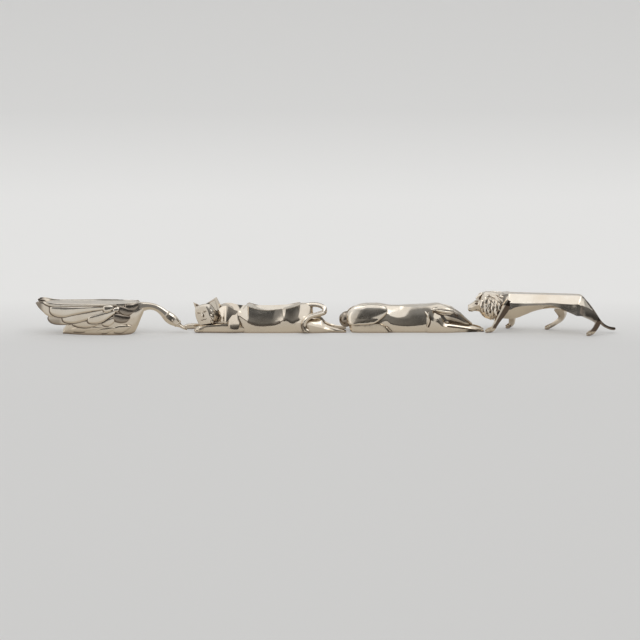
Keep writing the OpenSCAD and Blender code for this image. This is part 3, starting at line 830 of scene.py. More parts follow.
# %% Cat body
cat_trunk = [
    # x, back y z, ridge y z, lower edge y z, foot y z
    [-36, 0, 12, 2.6, 10.4, 3.2, 6.5, 3.6, 0],
    [-31, 0, 15, 3.8, 13.6, 5, 6.5, 5.2, 0],
    [-27, 0, 17.6, 4.6, 16.6, 6.9, 6.6, 6.9, 0],
    [-24.4, 0, 18.2, 5.6, 17.2, 8.3, 7, 8.2, 0],
    [-22, 0, 18.1, 6.4, 16.4, 8.2, 8, 8.2, 0],
    [-19, 0, 17.4, 6.6, 14.6, 7.9, 9.6, 8, 0],
    [-16.2, 0, 16.8, 5.4, 13.8, 7.3, 11, 7.5, 0],
    [-13.6, 0, 16.6, 4.4, 15, 7.9, 9.2, 8.1, 0],
    [-11, 0, 16.8, 3.9, 17, 8.7, 7.6, 8.9, 0],
    [-10.2, 0, 16.8, 6.6, 16.9, 8.8, 7, 9, 0],
    [-8, 0, 16.7, 6.8, 16.2, 8.8, 5.9, 9, 0],
    [-3, 0, 16.6, 6.9, 15, 8.8, 4.8, 9, 0],
    [4.4, 0, 16.6, 7, 14.6, 8.8, 5.3, 9, 0],
    [7, 0, 16.7, 5.7, 14.7, 8.8, 6, 9, 0],
    [11.4, 0, 16.9, 5.6, 15.1, 8.6, 8, 9, 0],
    [13.6, 0, 17, 7, 15.4, 8.4, 9.1, 8.9, 0],
    [18, 0, 17.5, 6.4, 16.4, 8.4, 6.6, 8.6, 0],
    [21, 0, 17.9, 5.6, 17.2, 8.2, 8.4, 8.4, 0],
    [22.6, 0, 18.1, 3.6, 17.6, 8, 9, 8.2, 0],
    [26, 0, 18.2, 2.6, 17.7, 7.4, 9, 7.2, 0],
    [29, 0, 17.6, 2.4, 16.6, 6.2, 9, 6.2, 0],
    [31, 0, 15.6, 1.6, 14.4, 4.8, 9, 5, 0],
]
# The flank bows out at the chest and in along the lens, one number for each station
cat_dip = [0.02] * 7 + [0, 0] + [-0.02] * 9 + [0, 0, 0.02, 0]
piece("cat_body", CAT, loft(cat_trunk, [-0.02, cat_dip, 0.005], steps=5))


def edge_line(rows, side, column, start, end, girth):
    """A thin raised line along one crease of a body, from x = start to x = end."""
    crease = [r for r in rows if start <= r[0] <= end]
    return limb([[r[0], side * (r[column] + 0.02), r[column + 1], girth, girth] for r in crease], 5, 10)


# The raised lines on the lens's lower edge are darkened with painted shade.
lens_edges = [edge_line(cat_trunk, side, 5, -16.5, 14, 0.24) for side in (-1, 1)]
piece("cat_lens_lines", CAT, several(*lens_edges), "cat_body", shade_and_oxide=0.9)
ridges = [edge_line(cat_trunk, side, 3, -11.5, 22.7, 0.22) for side in (-1, 1)]
piece("cat_ridge_lines", CAT, several(*ridges), "cat_body")

# %% [markdown]
# ## Cat: head turned to the front
# The head is a blunt wedge turned well towards the front of the row and tipped to one side. It
# is lofted looking along the row, then turned as one. The ears are thin kites from root to tip,
# with a smaller kite for the hollow.

# %% Cat head
LOOK, TIP = math.radians(60), math.radians(16)
HEAD_AT = np.array([-36.9, -2.2, 11.2])


def turned_head(shape):
    """Turns points drawn with the head facing -X to the way the cat looks."""
    p = np.asarray(shape[0], float)
    y = p[:, 1] * math.cos(TIP) + p[:, 2] * math.sin(TIP)
    z = -p[:, 1] * math.sin(TIP) + p[:, 2] * math.cos(TIP)
    x = p[:, 0] * math.cos(LOOK) - y * math.sin(LOOK)
    y = p[:, 0] * math.sin(LOOK) + y * math.cos(LOOK)
    return np.stack([x, y, z], 1) + HEAD_AT, shape[1]


cat_skull = [
    # forward, crown y z, brow y z, cheek y z, chin y z
    [6, 0, 3.6, 2.6, 3, 3.6, -0.5, 1.8, -3],
    [3, 0, 6, 4.6, 5.2, 6.4, 0, 3.4, -5.2],
    [0, 0, 7, 5.6, 6.2, 6.9, -0.2, 4.2, -6],
    [-3, 0, 7, 5.4, 6.2, 6.5, -0.6, 4.2, -6.2],
    [-4.6, 0, 6.6, 5, 5.9, 6.1, -0.6, 4.3, -6.2],
    [-5.3, 0, 6, 4.6, 5.3, 5.6, -0.8, 4, -6.1],
    [-5.7, 0, 5.2, 4.1, 4.6, 5, -1, 3.6, -5.8],
]
cat_head = turned_head(loft(cat_skull, [0.03, 0.05, 0.05], steps=5))
piece("cat_head", CAT, cat_head)


def kite(root, tip, parts=6):
    """A thin pointed ear from its root corners to its tip."""
    root, tip = np.array(root, float), np.array(tip, float)
    return skin([[p + (tip - p) * t for p in root] for t in np.linspace(0, 0.97, parts)])


for name, side in (("cat_ear_left", -1), ("cat_ear_right", 1)):
    shell_root = [(-3.0, 1.8, 6.4), (0.6, 1.6, 5.2), (5.4, 8.4, 2.6), (2.4, 8.6, 0.2)]
    hollow_root = [(-3.6, 3.0, 5.8), (-1.6, 2.8, 5.2), (1.4, 7.4, 1.8), (0.6, 7.8, 0.4)]
    shell = kite([[x, side * y, z] for x, y, z in shell_root], [1.2, side * 9.3, 9.4])
    hollow = kite([[x, side * y, z] for x, y, z in hollow_root], [0.0, side * 8.4, 7.8])
    piece(name, CAT, turned_head(several(shell, hollow)))

# %% [markdown]
# ## Cat: face and cheek ruff
# The face is only a few raised strokes: two half-closed eyes, a straight nose and a mouth line.
# Lids and nose stay bright, eyes and lips are a darkened piece of their own.

# %% Cat face
cat_lids = [bead([-5.7, side * 2.4, 2.6], [0, side, 0.2], 1.5, (0.3, 0.3)) for side in (-1, 1)]
cat_nose = limb([[-5.4, 0, 3.0, 0.4, 0.3], [-5.9, 0, 1.4, 0.5, 0.4], [-6.5, 0, -0.4, 0.8, 0.5],
                 [-6.6, 0, -1.2, 0.4, 0.3]], 5, 14, 1.6)
piece("cat_face", CAT, turned_head(several(*cat_lids, cat_nose)))
cat_eyes = [bead([-5.7, side * 2.4, 1.9], [0, side, 0.2], 1.3, (0.3, 0.34)) for side in (-1, 1)]
cat_lips = [limb([[-5.9, side * 0.1, -2.5, 0.2, 0.2], [-5.9, side * 1.1, -3.0, 0.26, 0.26],
                  [-5.8, side * 2.3, -2.5, 0.2, 0.2]], 5, 10) for side in (-1, 1)]
piece("cat_features", CAT, turned_head(several(*cat_eyes, *cat_lips)), shade_and_oxide=0.6)

# %% [markdown]
# ## Cat: cheek ruff
# Behind each cheek the fur ends in a few pointed locks. They are seats on the head's own skin,
# and the lock tree grows them.

# %% Cat ruff
ruff_spots = [[-34.8, 15.4, 0.5, -1, 4], [-33.6, 13.6, 0.6, -1, 4], [-34.6, 12.4, 0.5, -1, 4],
              [-33.2, 11, 0.7, -1, 3.6], [-34.6, 9.6, 0.5, -1, 3.6], [-33.4, 8.4, 0.7, -1, 3]]
locks("cat_ruff", CAT, seats_on(cat_head, ruff_spots),
      Width=0.17, Rise=0.22, Wave=0.04, Flatness=0.8, Jitter=0.08, Seed=4)

# %% [markdown]
# ## Cat: legs and tail
# The forelegs reach out flat on the table under the chin. The upper arm is a leaf with a
# crease across it, bright above and dark below. The tail loops back over the haunch.

# %% Cat limbs
cat_arm = [
    # x, top y z, crease y z, low y z
    [-24, 8.2, 6.8, 8.9, 5.8, 8.8, 5.2],
    [-22.6, 7.4, 10, 10.2, 5.5, 10.6, 3.8],
    [-20.2, 6.8, 13, 10.6, 5.4, 11.1, 2.9],
    [-18, 6.6, 13.2, 10.6, 5.5, 11.1, 2.8],
    [-16.4, 7.2, 10, 10.2, 5.5, 10.6, 3.2],
    [-15.2, 7.8, 6.8, 9, 5.6, 9, 4.6],
]
for name, side in (("cat_shoulder_left", -1), ("cat_shoulder_right", 1)):
    piece(name, CAT, panel(cat_arm, side, (0.01, 0.02), 6.0, steps=7))


def lying(stations, side, steps=6):
    """A leg along the table: rows [x, outwards, top z, half width]."""
    rows = [[x, side * out, top * 0.5, half, top * 0.5] for x, out, top, half in stations]
    return limb(rows, steps, around=32, point=5.0)


cat_reach = [[-13.5, 6.8, 3.6, 1.5], [-17, 7.4, 5.4, 2.1], [-24, 7.4, 6.2, 2.4], [-30, 7.1, 6, 2.4],
             [-36, 6.8, 5.4, 2.4], [-41, 6.6, 4.4, 2.5], [-43.6, 6.6, 3, 2.1], [-44.8, 6.6, 1.6, 1.4]]
cat_reach_far = [[-13.5, 6.8, 3.6, 1.5], [-17, 7.4, 5, 2.1], [-25, 7.4, 5, 2.4], [-34, 7, 4.2, 2.2],
                 [-42, 6.6, 3.4, 2], [-49, 6.4, 3.2, 2.3], [-52, 6.4, 2.2, 2], [-53.2, 6.4, 1.2, 1.2]]


def toes(x, middle, height, reach, spread):
    """Four toes side by side at the front of a paw that points along -X."""
    half = (spread * 0.3, height * 0.85)
    return [bead([x, middle + spread * t, height], [-1, 0.15 * t, -0.25], reach, half)
            for t in (-0.75, -0.25, 0.25, 0.75)]


cat_paw = bead([-40.8, -6.9, 2.3], [-1, 0, -0.3], 4.2, (2.9, 2.5))
piece("cat_foreleg_left", CAT, several(lying(cat_reach, -1), cat_paw, *toes(-43.0, -6.8, 1.5, 1.7, 2.6)))
piece("cat_foreleg_right", CAT, several(lying(cat_reach_far, 1), *toes(-51.2, 6.4, 1.2, 2.0, 2.2)))
cat_thigh = [
    # x, top y z, crest y z, foot y z
    [17, 4.6, 6, 6.4, 4.4, 6, 0],
    [20, 5, 9.6, 8.2, 6.4, 8, 0],
    [24, 5, 12.6, 9.2, 6.6, 9, 0],
    [28, 5.2, 11, 9.6, 5.6, 9.4, 0],
    [32, 5.4, 9.2, 9.5, 4.6, 9.2, 0],
    [36, 5.4, 8.2, 9.1, 3.6, 8.8, 0],
    [39, 5.4, 5.2, 8.6, 2.6, 8.2, 0],
    [43, 5.4, 3.3, 8, 1.7, 7.6, 0],
    [47, 5.3, 2.4, 8.1, 1.3, 7.8, 0],
    [50.5, 5.3, 2.1, 8.2, 1.1, 8, 0],
    [52.3, 5.8, 1.2, 7.4, 0.7, 7.2, 0],
]
for name, side in (("cat_hindleg_left", -1), ("cat_hindleg_right", 1)):
    piece(name, CAT, panel(cat_thigh, side, (0.05, 0.01), 4.9))
cat_tail = [
    [26, -0.5, 16.4, 1.6, 1.5], [30.5, -1.2, 17.2, 1.6, 1.4], [35, -2.2, 16.9, 1.6, 1.4],
    [38.2, -3.4, 15.2, 1.6, 1.5], [38, -5, 12.9, 1.6, 1.5], [34.5, -7, 12, 1.6, 1.4],
    [29.5, -9.2, 10.9, 1.6, 1.4], [26.2, -10.6, 8.6, 1.5, 1.5], [24.8, -11.2, 5.4, 1.5, 1.5],
    [25.6, -11.4, 2.8, 1.4, 1.4], [27.8, -11.4, 1.5, 1.2, 1.2],
]
TAIL_GIRTH = 1.15
cat_tail = [[x, y, z, w * TAIL_GIRTH, h * TAIL_GIRTH] for x, y, z, w, h in cat_tail]


def tail_turn_shade(x, y, z):
    """The turn of the tail on the thigh gets painted shade on its hidden side."""
    return 0.75 * ((z < 7) & (x < 25.2))


piece("cat_tail", CAT, limb(cat_tail, around=24, point=1.5, twist=0.3), shade_and_oxide=tail_turn_shade)

# %% [markdown]
# ## Hare: body
# The hare crouches with its ears laid back. Its back is round, and a flat lens runs along
# each flank between two creases before the skirt drops to the table.

# %% Hare body
hare_trunk = [
    # x, back y z, shoulder y z, upper crease y z, lower crease y z, foot y z
    [-42, 0, 10.4, 2, 10.2, 3.6, 8, 3, 5.4, 1.6, 3.2],
    [-38, 0, 15.9, 2.8, 15.6, 6, 9.5, 6.8, 4.6, 6.4, 0],
    [-32, 0, 17.7, 3.2, 17.4, 7.2, 10.5, 8, 4.8, 7.8, 0],
    [-24, 0, 17.9, 3.2, 17.6, 7.6, 10.8, 8.6, 5, 8.4, 0],
    [-18, 0, 16.9, 2.8, 16.7, 7.2, 12.4, 8.4, 8.2, 8.5, 0],
    [-15, 0, 16.5, 2.8, 16.3, 7.3, 10.8, 8.6, 5.8, 8.6, 0],
    [-10, 0, 16.4, 2.8, 16.2, 7.4, 9.6, 8.6, 4.7, 8.6, 0],
    [-5, 0, 16.4, 4.3, 16.2, 7.4, 9.6, 8.6, 4.3, 8.6, 0],
    [0, 0, 16.5, 5.6, 16.2, 7.5, 9.8, 8.6, 4.4, 8.6, 0],
    [4, 0, 16.7, 5.7, 16.4, 7.6, 10, 8.6, 4.7, 8.6, 0],
    [7, 0, 16.9, 5.7, 16.5, 7.6, 10.3, 8.6, 5.4, 8.5, 0],
    [11, 0, 17.4, 4.8, 17, 7.2, 11, 8.4, 6.2, 8.2, 0],
    [15, 0, 17.8, 3.6, 17.5, 6.8, 11.4, 7.8, 6.4, 7.6, 0],
    [18.6, 0, 17, 2.8, 16.7, 5.8, 11.4, 6.8, 6.6, 6.8, 0],
    [22, 0, 14.2, 1.8, 14, 4.4, 10.6, 5.2, 7, 5.4, 0],
]
piece("hare_body", HARE, loft(hare_trunk, [0.0, 0.03, 0.0, 0.0], steps=6, cuts=7))

# %% [markdown]
# ## Hare: head and ears
# The head is a long wedge that carries on the line of the back. Each ear is a broad blade laid
# back over the shoulder, with a fold raised along it and painted shade lines round both.

# %% Hare head
hare_head = [
    # x, crown y z, brow y z, cheek y z, chin y z
    [15, 0, 16.8, 4, 16, 5.6, 12, 4.4, 7],
    [19, 0, 16.6, 4.4, 15.4, 5.9, 11, 4.8, 6.6],
    [23, 0, 15.4, 4.4, 14, 5.7, 9.6, 4.6, 5.8],
    [27, 0, 13.6, 4, 12.2, 5.1, 8.4, 4.2, 5],
    [30, 0, 11.6, 3.4, 10.2, 4.4, 7, 3.6, 4.2],
    [33, 0, 8.7, 2.8, 7.4, 3.7, 5.6, 3.1, 3.4],
    [35.6, 0, 6.4, 2.2, 5.6, 3, 4.5, 2.4, 3],
    [37.4, 0, 5, 1.4, 4.7, 2.2, 4, 1.8, 3],
]
hare_eyes = [bead([27.2, side * 4.75, 10.5], [0.8, 0, -0.45], 1.3, (0.6, 0.8)) for side in (-1, 1)]
hare_lids = [bead([26.8, side * 4.5, 11.6], [0.8, 0, -0.5], 2.0, (0.5, 0.4)) for side in (-1, 1)]
piece("hare_eyes", HARE, several(*hare_eyes), "hare_head", shade_and_oxide=1.0)


def shaded_muzzle(x, y, z):
    """Painted shade browns the face from the eyes to the nose, above the chin."""
    return np.clip((x - 21) / 5, 0, 0.5) * (z > 5.6)


hare_nose = bead([36.9, 0, 4.2], [0.7, 0, -0.7], 0.8, (1.2, 0.6))
piece("hare_head", HARE, several(loft(hare_head, [0.05, 0.03, 0.05], steps=6), *hare_lids, hare_nose),
      shade_and_oxide=shaded_muzzle)
hare_ear = [
    [10.6, 14.4, 15.2, 5.6], [12.6, 13.9, 16, 6.6], [15.4, 12.6, 16.2, 7.3], [18.6, 11.5, 16, 7.5],
    [22, 11.3, 15.4, 7.1], [24.6, 12, 14.6, 6.2], [26, 12.8, 13.8, 5.2],
]
hare_ear_fold = [
    [13.6, 13.8, 14.8, 7.3], [16.2, 12.9, 14.7, 8], [19.4, 12.2, 14.2, 8.1], [22.6, 12.2, 13.6, 7.6],
    [25, 12.6, 13.2, 6.6],
]
for name, side in (("hare_ear_right", -1), ("hare_ear_left", 1)):
    ear = blade(hare_ear, side, thick=3.0, crown=0.1, lip=0.5, lean=0.5)
    ear_fold = blade(hare_ear_fold, side, crown=0.35, lip=0.6, lean=-0.4)
    piece(name, HARE, several(ear, ear_fold))
    # Painted shade lines round the ear and its fold.
    lines = [blade(behind(hare_ear, 0.4, 0.4), side, crown=0, lip=0.1),
             blade(behind(hare_ear_fold, 0.3, 0.4), side, lip=0.1)]
    piece(name + "_lines", HARE, several(*lines), name, shade_and_oxide=0.9)

# %% [markdown]
# ## Hare: haunches, feet and scut
# The haunch is the one full curve on the hare, a crowned cushion whose front edge stands clear
# of the flank. The far one is set lower, so it stays behind the back. The hind foot lies along
# the table below it, and a fold and a painted shade line mark where the foreleg leaves the shoulder.

# %% Hare limbs
hare_haunch = [[-43.4, 8.6], [-42.6, 12.6], [-39, 15.9], [-33, 17.6], [-26, 17.9], [-21, 17.4], [-18, 15.8],
               [-17.2, 13.5], [-18.6, 11.3], [-22, 8.4], [-25, 6.4], [-29, 5.6], [-37, 5.2], [-42, 5.6]]


def haunch_fall(x, z):
    """The haunch leans back towards its top, and turns away behind a slanting crease."""
    crease = -38.7 + 0.64 * (z - 6)
    upper, lower = np.maximum(z - 15.5, 0), np.maximum(9.5 - z, 0)
    return 0.12 * (z - 10) + 0.26 * np.maximum(crease - x, 0) + 0.15 * upper - 0.18 * lower


hare_arm = [
    # x, top y z, crest y z, under crest y z, foot y z
    [7.8, 7.9, 10.8, 8.4, 9.4, 8.4, 8.8, 8.5, 0],
    [9, 8.2, 13.4, 9.1, 10.2, 9.2, 9.2, 9.3, 0],
    [11, 7.6, 14.8, 9, 10, 9.3, 7.8, 9.3, 0],
    [13, 5.8, 14.2, 9, 9.4, 9.2, 7, 9.3, 0],
    [15.4, 6.4, 12.4, 8.9, 8.4, 9.2, 6.4, 9.3, 0],
    [17.4, 7.4, 9.6, 8.8, 5.9, 9.1, 4.9, 9.2, 0],
    [20, 5.4, 7, 7.7, 5.7, 9, 4.1, 9.2, 0],
    [23, 4.4, 6, 7.2, 5.2, 8.7, 3.5, 8.9, 0],
    [27, 3.8, 5.2, 6.5, 4.5, 7.9, 2.9, 8.1, 0],
    [33, 3.2, 4.2, 5.8, 3.5, 7, 2.1, 7.2, 0],
    [38, 2.8, 3.4, 5.4, 2.7, 6.3, 1.4, 6.5, 0],
    [41, 3, 2.6, 5.9, 1.8, 6.1, 1, 6.2, 0],
    [43.6, 3.2, 1.6, 5.4, 1, 5.6, 0.5, 5.7, 0],
    [45, 3.6, 0.8, 4.8, 0.5, 4.9, 0.3, 5, 0],
]
hare_foot = [
    [-41.8, 3.2, 5.4, 5, 4.8, 5.2, 3.4],
    [-41, 3.8, 6, 6.8, 5.4, 7, 1],
    [-39.8, 4.4, 6.3, 7.9, 5.6, 8.1, 0],
    [-38, 4.6, 6.4, 8.5, 5.4, 8.7, 0],
    [-33, 5, 6.4, 9, 5.4, 9.2, 0],
    [-28, 5.4, 6.4, 9.2, 5.6, 9.4, 0],
    [-24, 5.8, 6.6, 9.3, 6, 9.5, 0],
    [-20.6, 6.2, 6.2, 9.3, 5.2, 9.5, 0],
    [-18.4, 6.8, 4.6, 9.3, 3.4, 9.5, 0],
    [-16.4, 7.4, 2, 9, 1.2, 9.2, 0],
]
hare_shoulder_fold = [[6.8, 8.2, 13.8, 0.4, 0.4], [8.8, 9.1, 11, 0.8, 0.7], [9.2, 9.4, 7.4, 0.8, 0.7],
                      [8.1, 9.2, 4, 0.5, 0.5]]
hare_under_arm = [[21, 8.95, 4.4, 0.2, 0.3], [25, 8.5, 3.9, 0.3, 0.4], [31, 7.45, 2.9, 0.3, 0.35],
                  [36, 6.8, 2, 0.3, 0.3], [40.6, 6.25, 1.3, 0.2, 0.3]]
HAUNCH_MIDDLE = [-28, 10]
for name, side, rise, outwards in (("right", -1, 1.07, 10.4), ("left", 1, 0.8, 10.0)):
    outline = [[x, z if z < 10 else 10 + (z - 10) * rise] for x, z in hare_haunch]
    haunch = cushion(outline, HAUNCH_MIDDLE, 5.0, outwards, side, crown=0.88, edge=1.9, lip=0.24,
                     fall=haunch_fall)
    piece("hare_haunch_" + name, HARE, haunch)
    piece("hare_foreleg_" + name, HARE, panel(hare_arm, side, (0.02, 0.0, 0.0), 2.6))
    hare_toes = [bead([-17.2 + 0.9 * t, side * 9.2, 1.5 + 0.9 * (2 - t)], [1, 0, -0.7], 1.5, (0.9, 0.6))
                 for t in range(3)]
    piece("hare_hindfoot_" + name, HARE, several(panel(hare_foot, side, (0.08, 0.02), 3.0), *hare_toes))
    fold = [[x, side * y, z, w, h] for x, y, z, w, h in hare_shoulder_fold]
    piece("hare_shoulder_fold_" + name, HARE, limb(fold, 6, 12), "hare_foreleg_" + name)
    # Painted shade: dark lines beside the shoulder fold and under the arm's crest.
    shade_line = [[x + 0.9, y, z - 0.3, 0.45, 0.45] for x, y, z, _, _ in fold[1:]]
    under_arm_shade = [[x, side * y, z, w, h] for x, y, z, w, h in hare_under_arm]
    piece("hare_arm_line_" + name, HARE, several(limb(shade_line, 6, 12), limb(under_arm_shade, 6, 12)),
          "hare_foreleg_" + name, shade_and_oxide=1.0)
hare_scut = [
    [-48, 0, 5.9, 0.7, 0.9], [-47.6, 0, 6, 1.8, 2.4], [-46.4, 0, 6.3, 3, 4],
    [-44.4, 0, 6.8, 3.6, 4.9], [-41.6, 0, 8.2, 3.4, 4.8], [-39.6, 0, 9, 2.4, 3.2],
]
# The scut is darkened with painted shade.
piece("hare_tail", HARE, limb(hare_scut, around=28, point=1.7), shade_and_oxide=0.7)

# %% [markdown]
# ## Lion: body
# The lion prowls on four legs. Its back is a flat board with a chamfer down each side, a thin
# dark band under it, and a belly that draws up to the loins.

# %% Lion body
lion_trunk = [
    # x, back y z, crease y z, under crease y z, belly y z
    [-28, 5, 24.2, 6.2, 20.4, 5.8, 15, 2.6, 9.6],
    [-24.4, 5.6, 24.6, 7, 20.2, 7.6, 13.6, 3.6, 8.6],
    [-22.8, 5.2, 24.8, 7.2, 19.8, 7.9, 14, 3.6, 8.5],
    [-20.4, 3.4, 24.8, 7.6, 19.6, 8.2, 15, 3.6, 8.4],
    [-16, 3.3, 24.8, 7.8, 19.5, 8.2, 17, 3.6, 9.2],
    [-11, 3.3, 24.8, 7.8, 19.6, 8.3, 18, 3.2, 11.2],
    [-5, 3.3, 24.8, 7.7, 19.9, 8.2, 18.5, 3, 13.8],
    [1, 3.3, 24.8, 7.6, 20.2, 8.1, 18.8, 3, 15.4],
    [6, 3.3, 24.8, 7.6, 20.4, 8.1, 18.9, 3, 16],
    [10, 3.3, 24.8, 7.6, 20.2, 8.2, 17.9, 3, 15.6],
    [15, 3.3, 24.8, 8, 20, 8.5, 16, 3.2, 14.4],
    [20, 3.2, 24.8, 8.1, 19.9, 8.8, 13.8, 3.4, 12.8],
    [23.4, 3, 24.7, 7.8, 20, 8.8, 12.6, 3.6, 11.8],
    [24.6, 3.2, 24.3, 7.6, 19.4, 8.7, 12.6, 3.6, 11.8],
    [26.4, 2.8, 22.8, 7.2, 18.4, 8.4, 12.6, 3.4, 11.9],
    [29.6, 2.6, 18.9, 6, 16, 7.2, 12.6, 3, 12],
    [32.4, 2.8, 15, 4, 14.2, 5.4, 12.6, 2.4, 12],
]
piece("lion_body", LION, loft(lion_trunk, [0.0, 0.0, 0.03], steps=6))

# %% [markdown]
# ## Lion: head and mane
# The head is a small block with a straight nose, brows, cheeks, ears and dark eyes. The mane
# behind it is first a plain swelling body, which the locks then grow on.

# %% Lion head
lion_skull = [
    # x, crown y z, brow y z, cheek y z, jaw y z
    [-36, 0, 24.2, 3.2, 23.6, 5.4, 18, 3, 10.6],
    [-39.4, 0, 23.2, 3, 22.4, 4.8, 17.6, 3, 12.2],
    [-41.2, 0, 21.3, 2.7, 20.6, 4.4, 16.8, 2.8, 12.7],
    [-43, 0, 19.3, 2, 18.8, 3.6, 16, 2.6, 12.8],
    [-45, 0, 17.8, 1.7, 17.4, 3, 15.2, 2.3, 12.2],
    [-46.8, 0, 16.5, 1.5, 16.1, 2.6, 14.6, 2, 12.3],
    [-47.6, 0, 15.9, 1.1, 15.6, 1.8, 14.4, 1.3, 13.2],
]
lion_face = []
for side in (-1, 1):
    lion_face += [bead([-41.6, side * 3.7, 19.3], [1, side * -0.5, -0.25], 1.9, (0.6, 0.45)),
                  bead([-45.6, side * 1.9, 14.0], [1, side * -0.3, 0.15], 1.9, (0.9, 1.3)),
                  bead([-34.6, side * 5.6, 22.4], [0.35, 0, 1], 1.7, (0.9, 1.2))]
lion_face.append(bead([-47.0, 0, 16.0], [1, 0, 0.5], 0.9, (1.4, 0.5)))
lion_eyes = [bead([-41.7, side * 4.1, 17.8], [1, side * -0.4, -0.2], 1.3, (0.6, 0.7)) for side in (-1, 1)]
piece("lion_eyes", LION, several(*lion_eyes), "lion_head", shade_and_oxide=1.0)
piece("lion_head", LION, several(loft(lion_skull, [0.02, 0.05, 0.04], steps=6), *lion_face))
lion_ruff = [
    # x, crown y z, temple y z, side y z, throat y z
    [-24.6, 0, 24.4, 3.6, 23.6, 5.8, 19, 3.6, 13.6],
    [-27, 0, 24.8, 4.4, 23.8, 7.2, 17.5, 4, 9.8],
    [-30, 0, 25.1, 4.8, 24, 7.7, 16.5, 4, 8.2],
    [-33, 0, 25.4, 4.8, 24.2, 7.7, 16.5, 4, 8],
    [-36, 0, 25.4, 4.4, 24.2, 7, 17, 3.8, 8.6],
    [-38.4, 0, 24.6, 3.6, 23.4, 5.8, 17.6, 3.2, 10.4],
    [-40, 0, 23.4, 2.8, 22.2, 4.6, 17.8, 2.6, 12.4],
]
lion_mane = loft(lion_ruff, [0.03, 0.05, 0.06], steps=6)
piece("lion_mane", LION, lion_mane)

# %% [markdown]
# ## Lion: mane locks
# The locks hang in columns from the crown to the throat, every other column set half a lock
# lower, and they all sweep back and down. The long seats overlap, so no gap shows between them.

# %% Lion mane locks
MANE_COLUMNS = 7
lock_spots = []
for column in range(MANE_COLUMNS):
    x = -38.6 + column * 2.15
    low = 10.6 + abs(column - 3) * 1.2
    for k, z in enumerate(np.arange(24.2 - (column % 2) * 1.6, low, -3.4)):
        lock_spots.append([x, z, 0.3 + 0.1 * column * (k == 0), -1, 6.0])
locks("lion_mane_locks", LION, seats_on(lion_mane, lock_spots),
      Width=0.18, Rise=0.12, Wave=0.08, Flatness=0.65, Jitter=0.14, Rings=14, Seed=7)

# %% [markdown]
# ## Lion: legs and tail
# Each leg is a limb with a diamond section, so a crease runs down its side and splits it into
# a bright front facet and a rear one darkened with painted shade. The far legs and the tail carry
# painted shade too. The near legs stand at the full track, and the rows give the share of it that
# each height reaches.

# %% Lion limbs
TRACK = 8.3
lion_legs = {
    "lion_foreleg_left": (-1, [
        [-21, 0.62, 20.6, 3, 3], [-22.8, 0.74, 17.4, 3.6, 3.6], [-25.4, 0.84, 12.6, 3, 3],
        [-27.6, 0.91, 8.6, 2.3, 2.3], [-29.3, 0.96, 5.2, 1.8, 1.8], [-30.4, 0.99, 3.2, 1.9, 1.8],
        [-32, 1, 2, 2.4, 1.9], [-34.2, 1, 1.5, 2.4, 1.6], [-35.4, 1, 1, 1.6, 1]]),
    "lion_foreleg_right": (1, [
        [-18.6, 0.66, 14, 2.8, 3.4], [-19.6, 0.86, 9, 2.5, 2.8], [-19.8, 0.96, 5, 2.2, 2.3],
        [-20.4, 1, 2.8, 2.3, 2.1], [-22.2, 1, 1.6, 2.4, 1.6], [-23.8, 1, 1, 1.6, 1]]),
    "lion_hindleg_left": (-1, [
        [21, 0.50, 16.4, 2.4, 3], [25, 0.64, 15.6, 3.4, 4.2], [30, 0.78, 13.8, 3.5, 4.2],
        [34, 0.86, 11.2, 2.9, 3.2], [35.9, 0.90, 8.8, 2.4, 2.4], [35.2, 0.94, 6.2, 2, 1.9],
        [33.8, 0.97, 3.8, 1.9, 1.7], [32.4, 1, 2.3, 2.2, 1.8], [30.6, 1, 1.6, 2.3, 1.6],
        [29.2, 1, 1, 1.6, 1]]),
    "lion_hindleg_right": (1, [
        [10.6, 0.58, 16, 3.4, 4.4], [12.4, 0.76, 12, 3.2, 3.7], [12.5, 0.88, 9.4, 2.7, 2.8],
        [11.4, 0.95, 7, 2.2, 2.2], [9, 0.98, 4.9, 1.9, 1.8], [6.2, 1, 3, 2.1, 1.7],
        [3.6, 1, 1.7, 2.3, 1.6], [1.6, 1, 1.1, 1.6, 1]]),
}


def foreleg_shade(x, y, z):
    """Painted shade darkens the facet behind the crease above the paw."""
    return 1.0 * ((z > 3) & (x > -23.3 + 0.533 * (z - 17.4)))


def hindleg_shade(x, y, z):
    """Painted shade: little on the paw, black on the facet behind the crease, brown on the shank and darker
    on the thigh.
    """
    front = np.where(x < 27, 0.85, 0.55)
    return np.where(z < 3, 0.2, np.where(x > 31.6 + 0.6 * (z - 3), 1.0, front))


# The far legs get a light, even painted shade.
leg_painted_shade = {"lion_foreleg_left": foreleg_shade, "lion_foreleg_right": 0.25,
             "lion_hindleg_left": hindleg_shade, "lion_hindleg_right": 0.25}
for name, (side, rows) in lion_legs.items():
    path = [[x, side * TRACK * share, z, w, d] for x, share, z, w, d in rows]
    tip = path[-1]
    paw = [bead([tip[0] + 1.6, tip[1] + 1.1 * t, 1.1], [-1, 0.1 * t, -0.2], 1.8, (0.62, 1.0))
           for t in (-1.5, -0.5, 0.5, 1.5)]
    piece(name, LION, several(limb(path, 6, 28, 1.12, side * -0.5), *paw), shade_and_oxide=leg_painted_shade[name])
lion_tail = [
    [25.2, 0.4, 23.2, 1.2, 1.2], [29.6, 1.4, 18, 1.3, 1.3], [33.6, 2.2, 12.4, 1.3, 1.3],
    [36.6, 2.6, 7.8, 1.3, 1.3], [39.6, 2.8, 4.9, 1.2, 1.2], [43, 2.8, 3.3, 1.2, 1.2],
    [45.6, 2.8, 2.9, 1.3, 1.2], [46.8, 2.8, 2.9, 0.9, 0.8], [47, 2.8, 2.9, 0.5, 0.4],
]
# The tail is darkened with painted shade.
piece("lion_tail", LION, limb(lion_tail, 6, 20, 1.15, 0.7), shade_and_oxide=0.85)
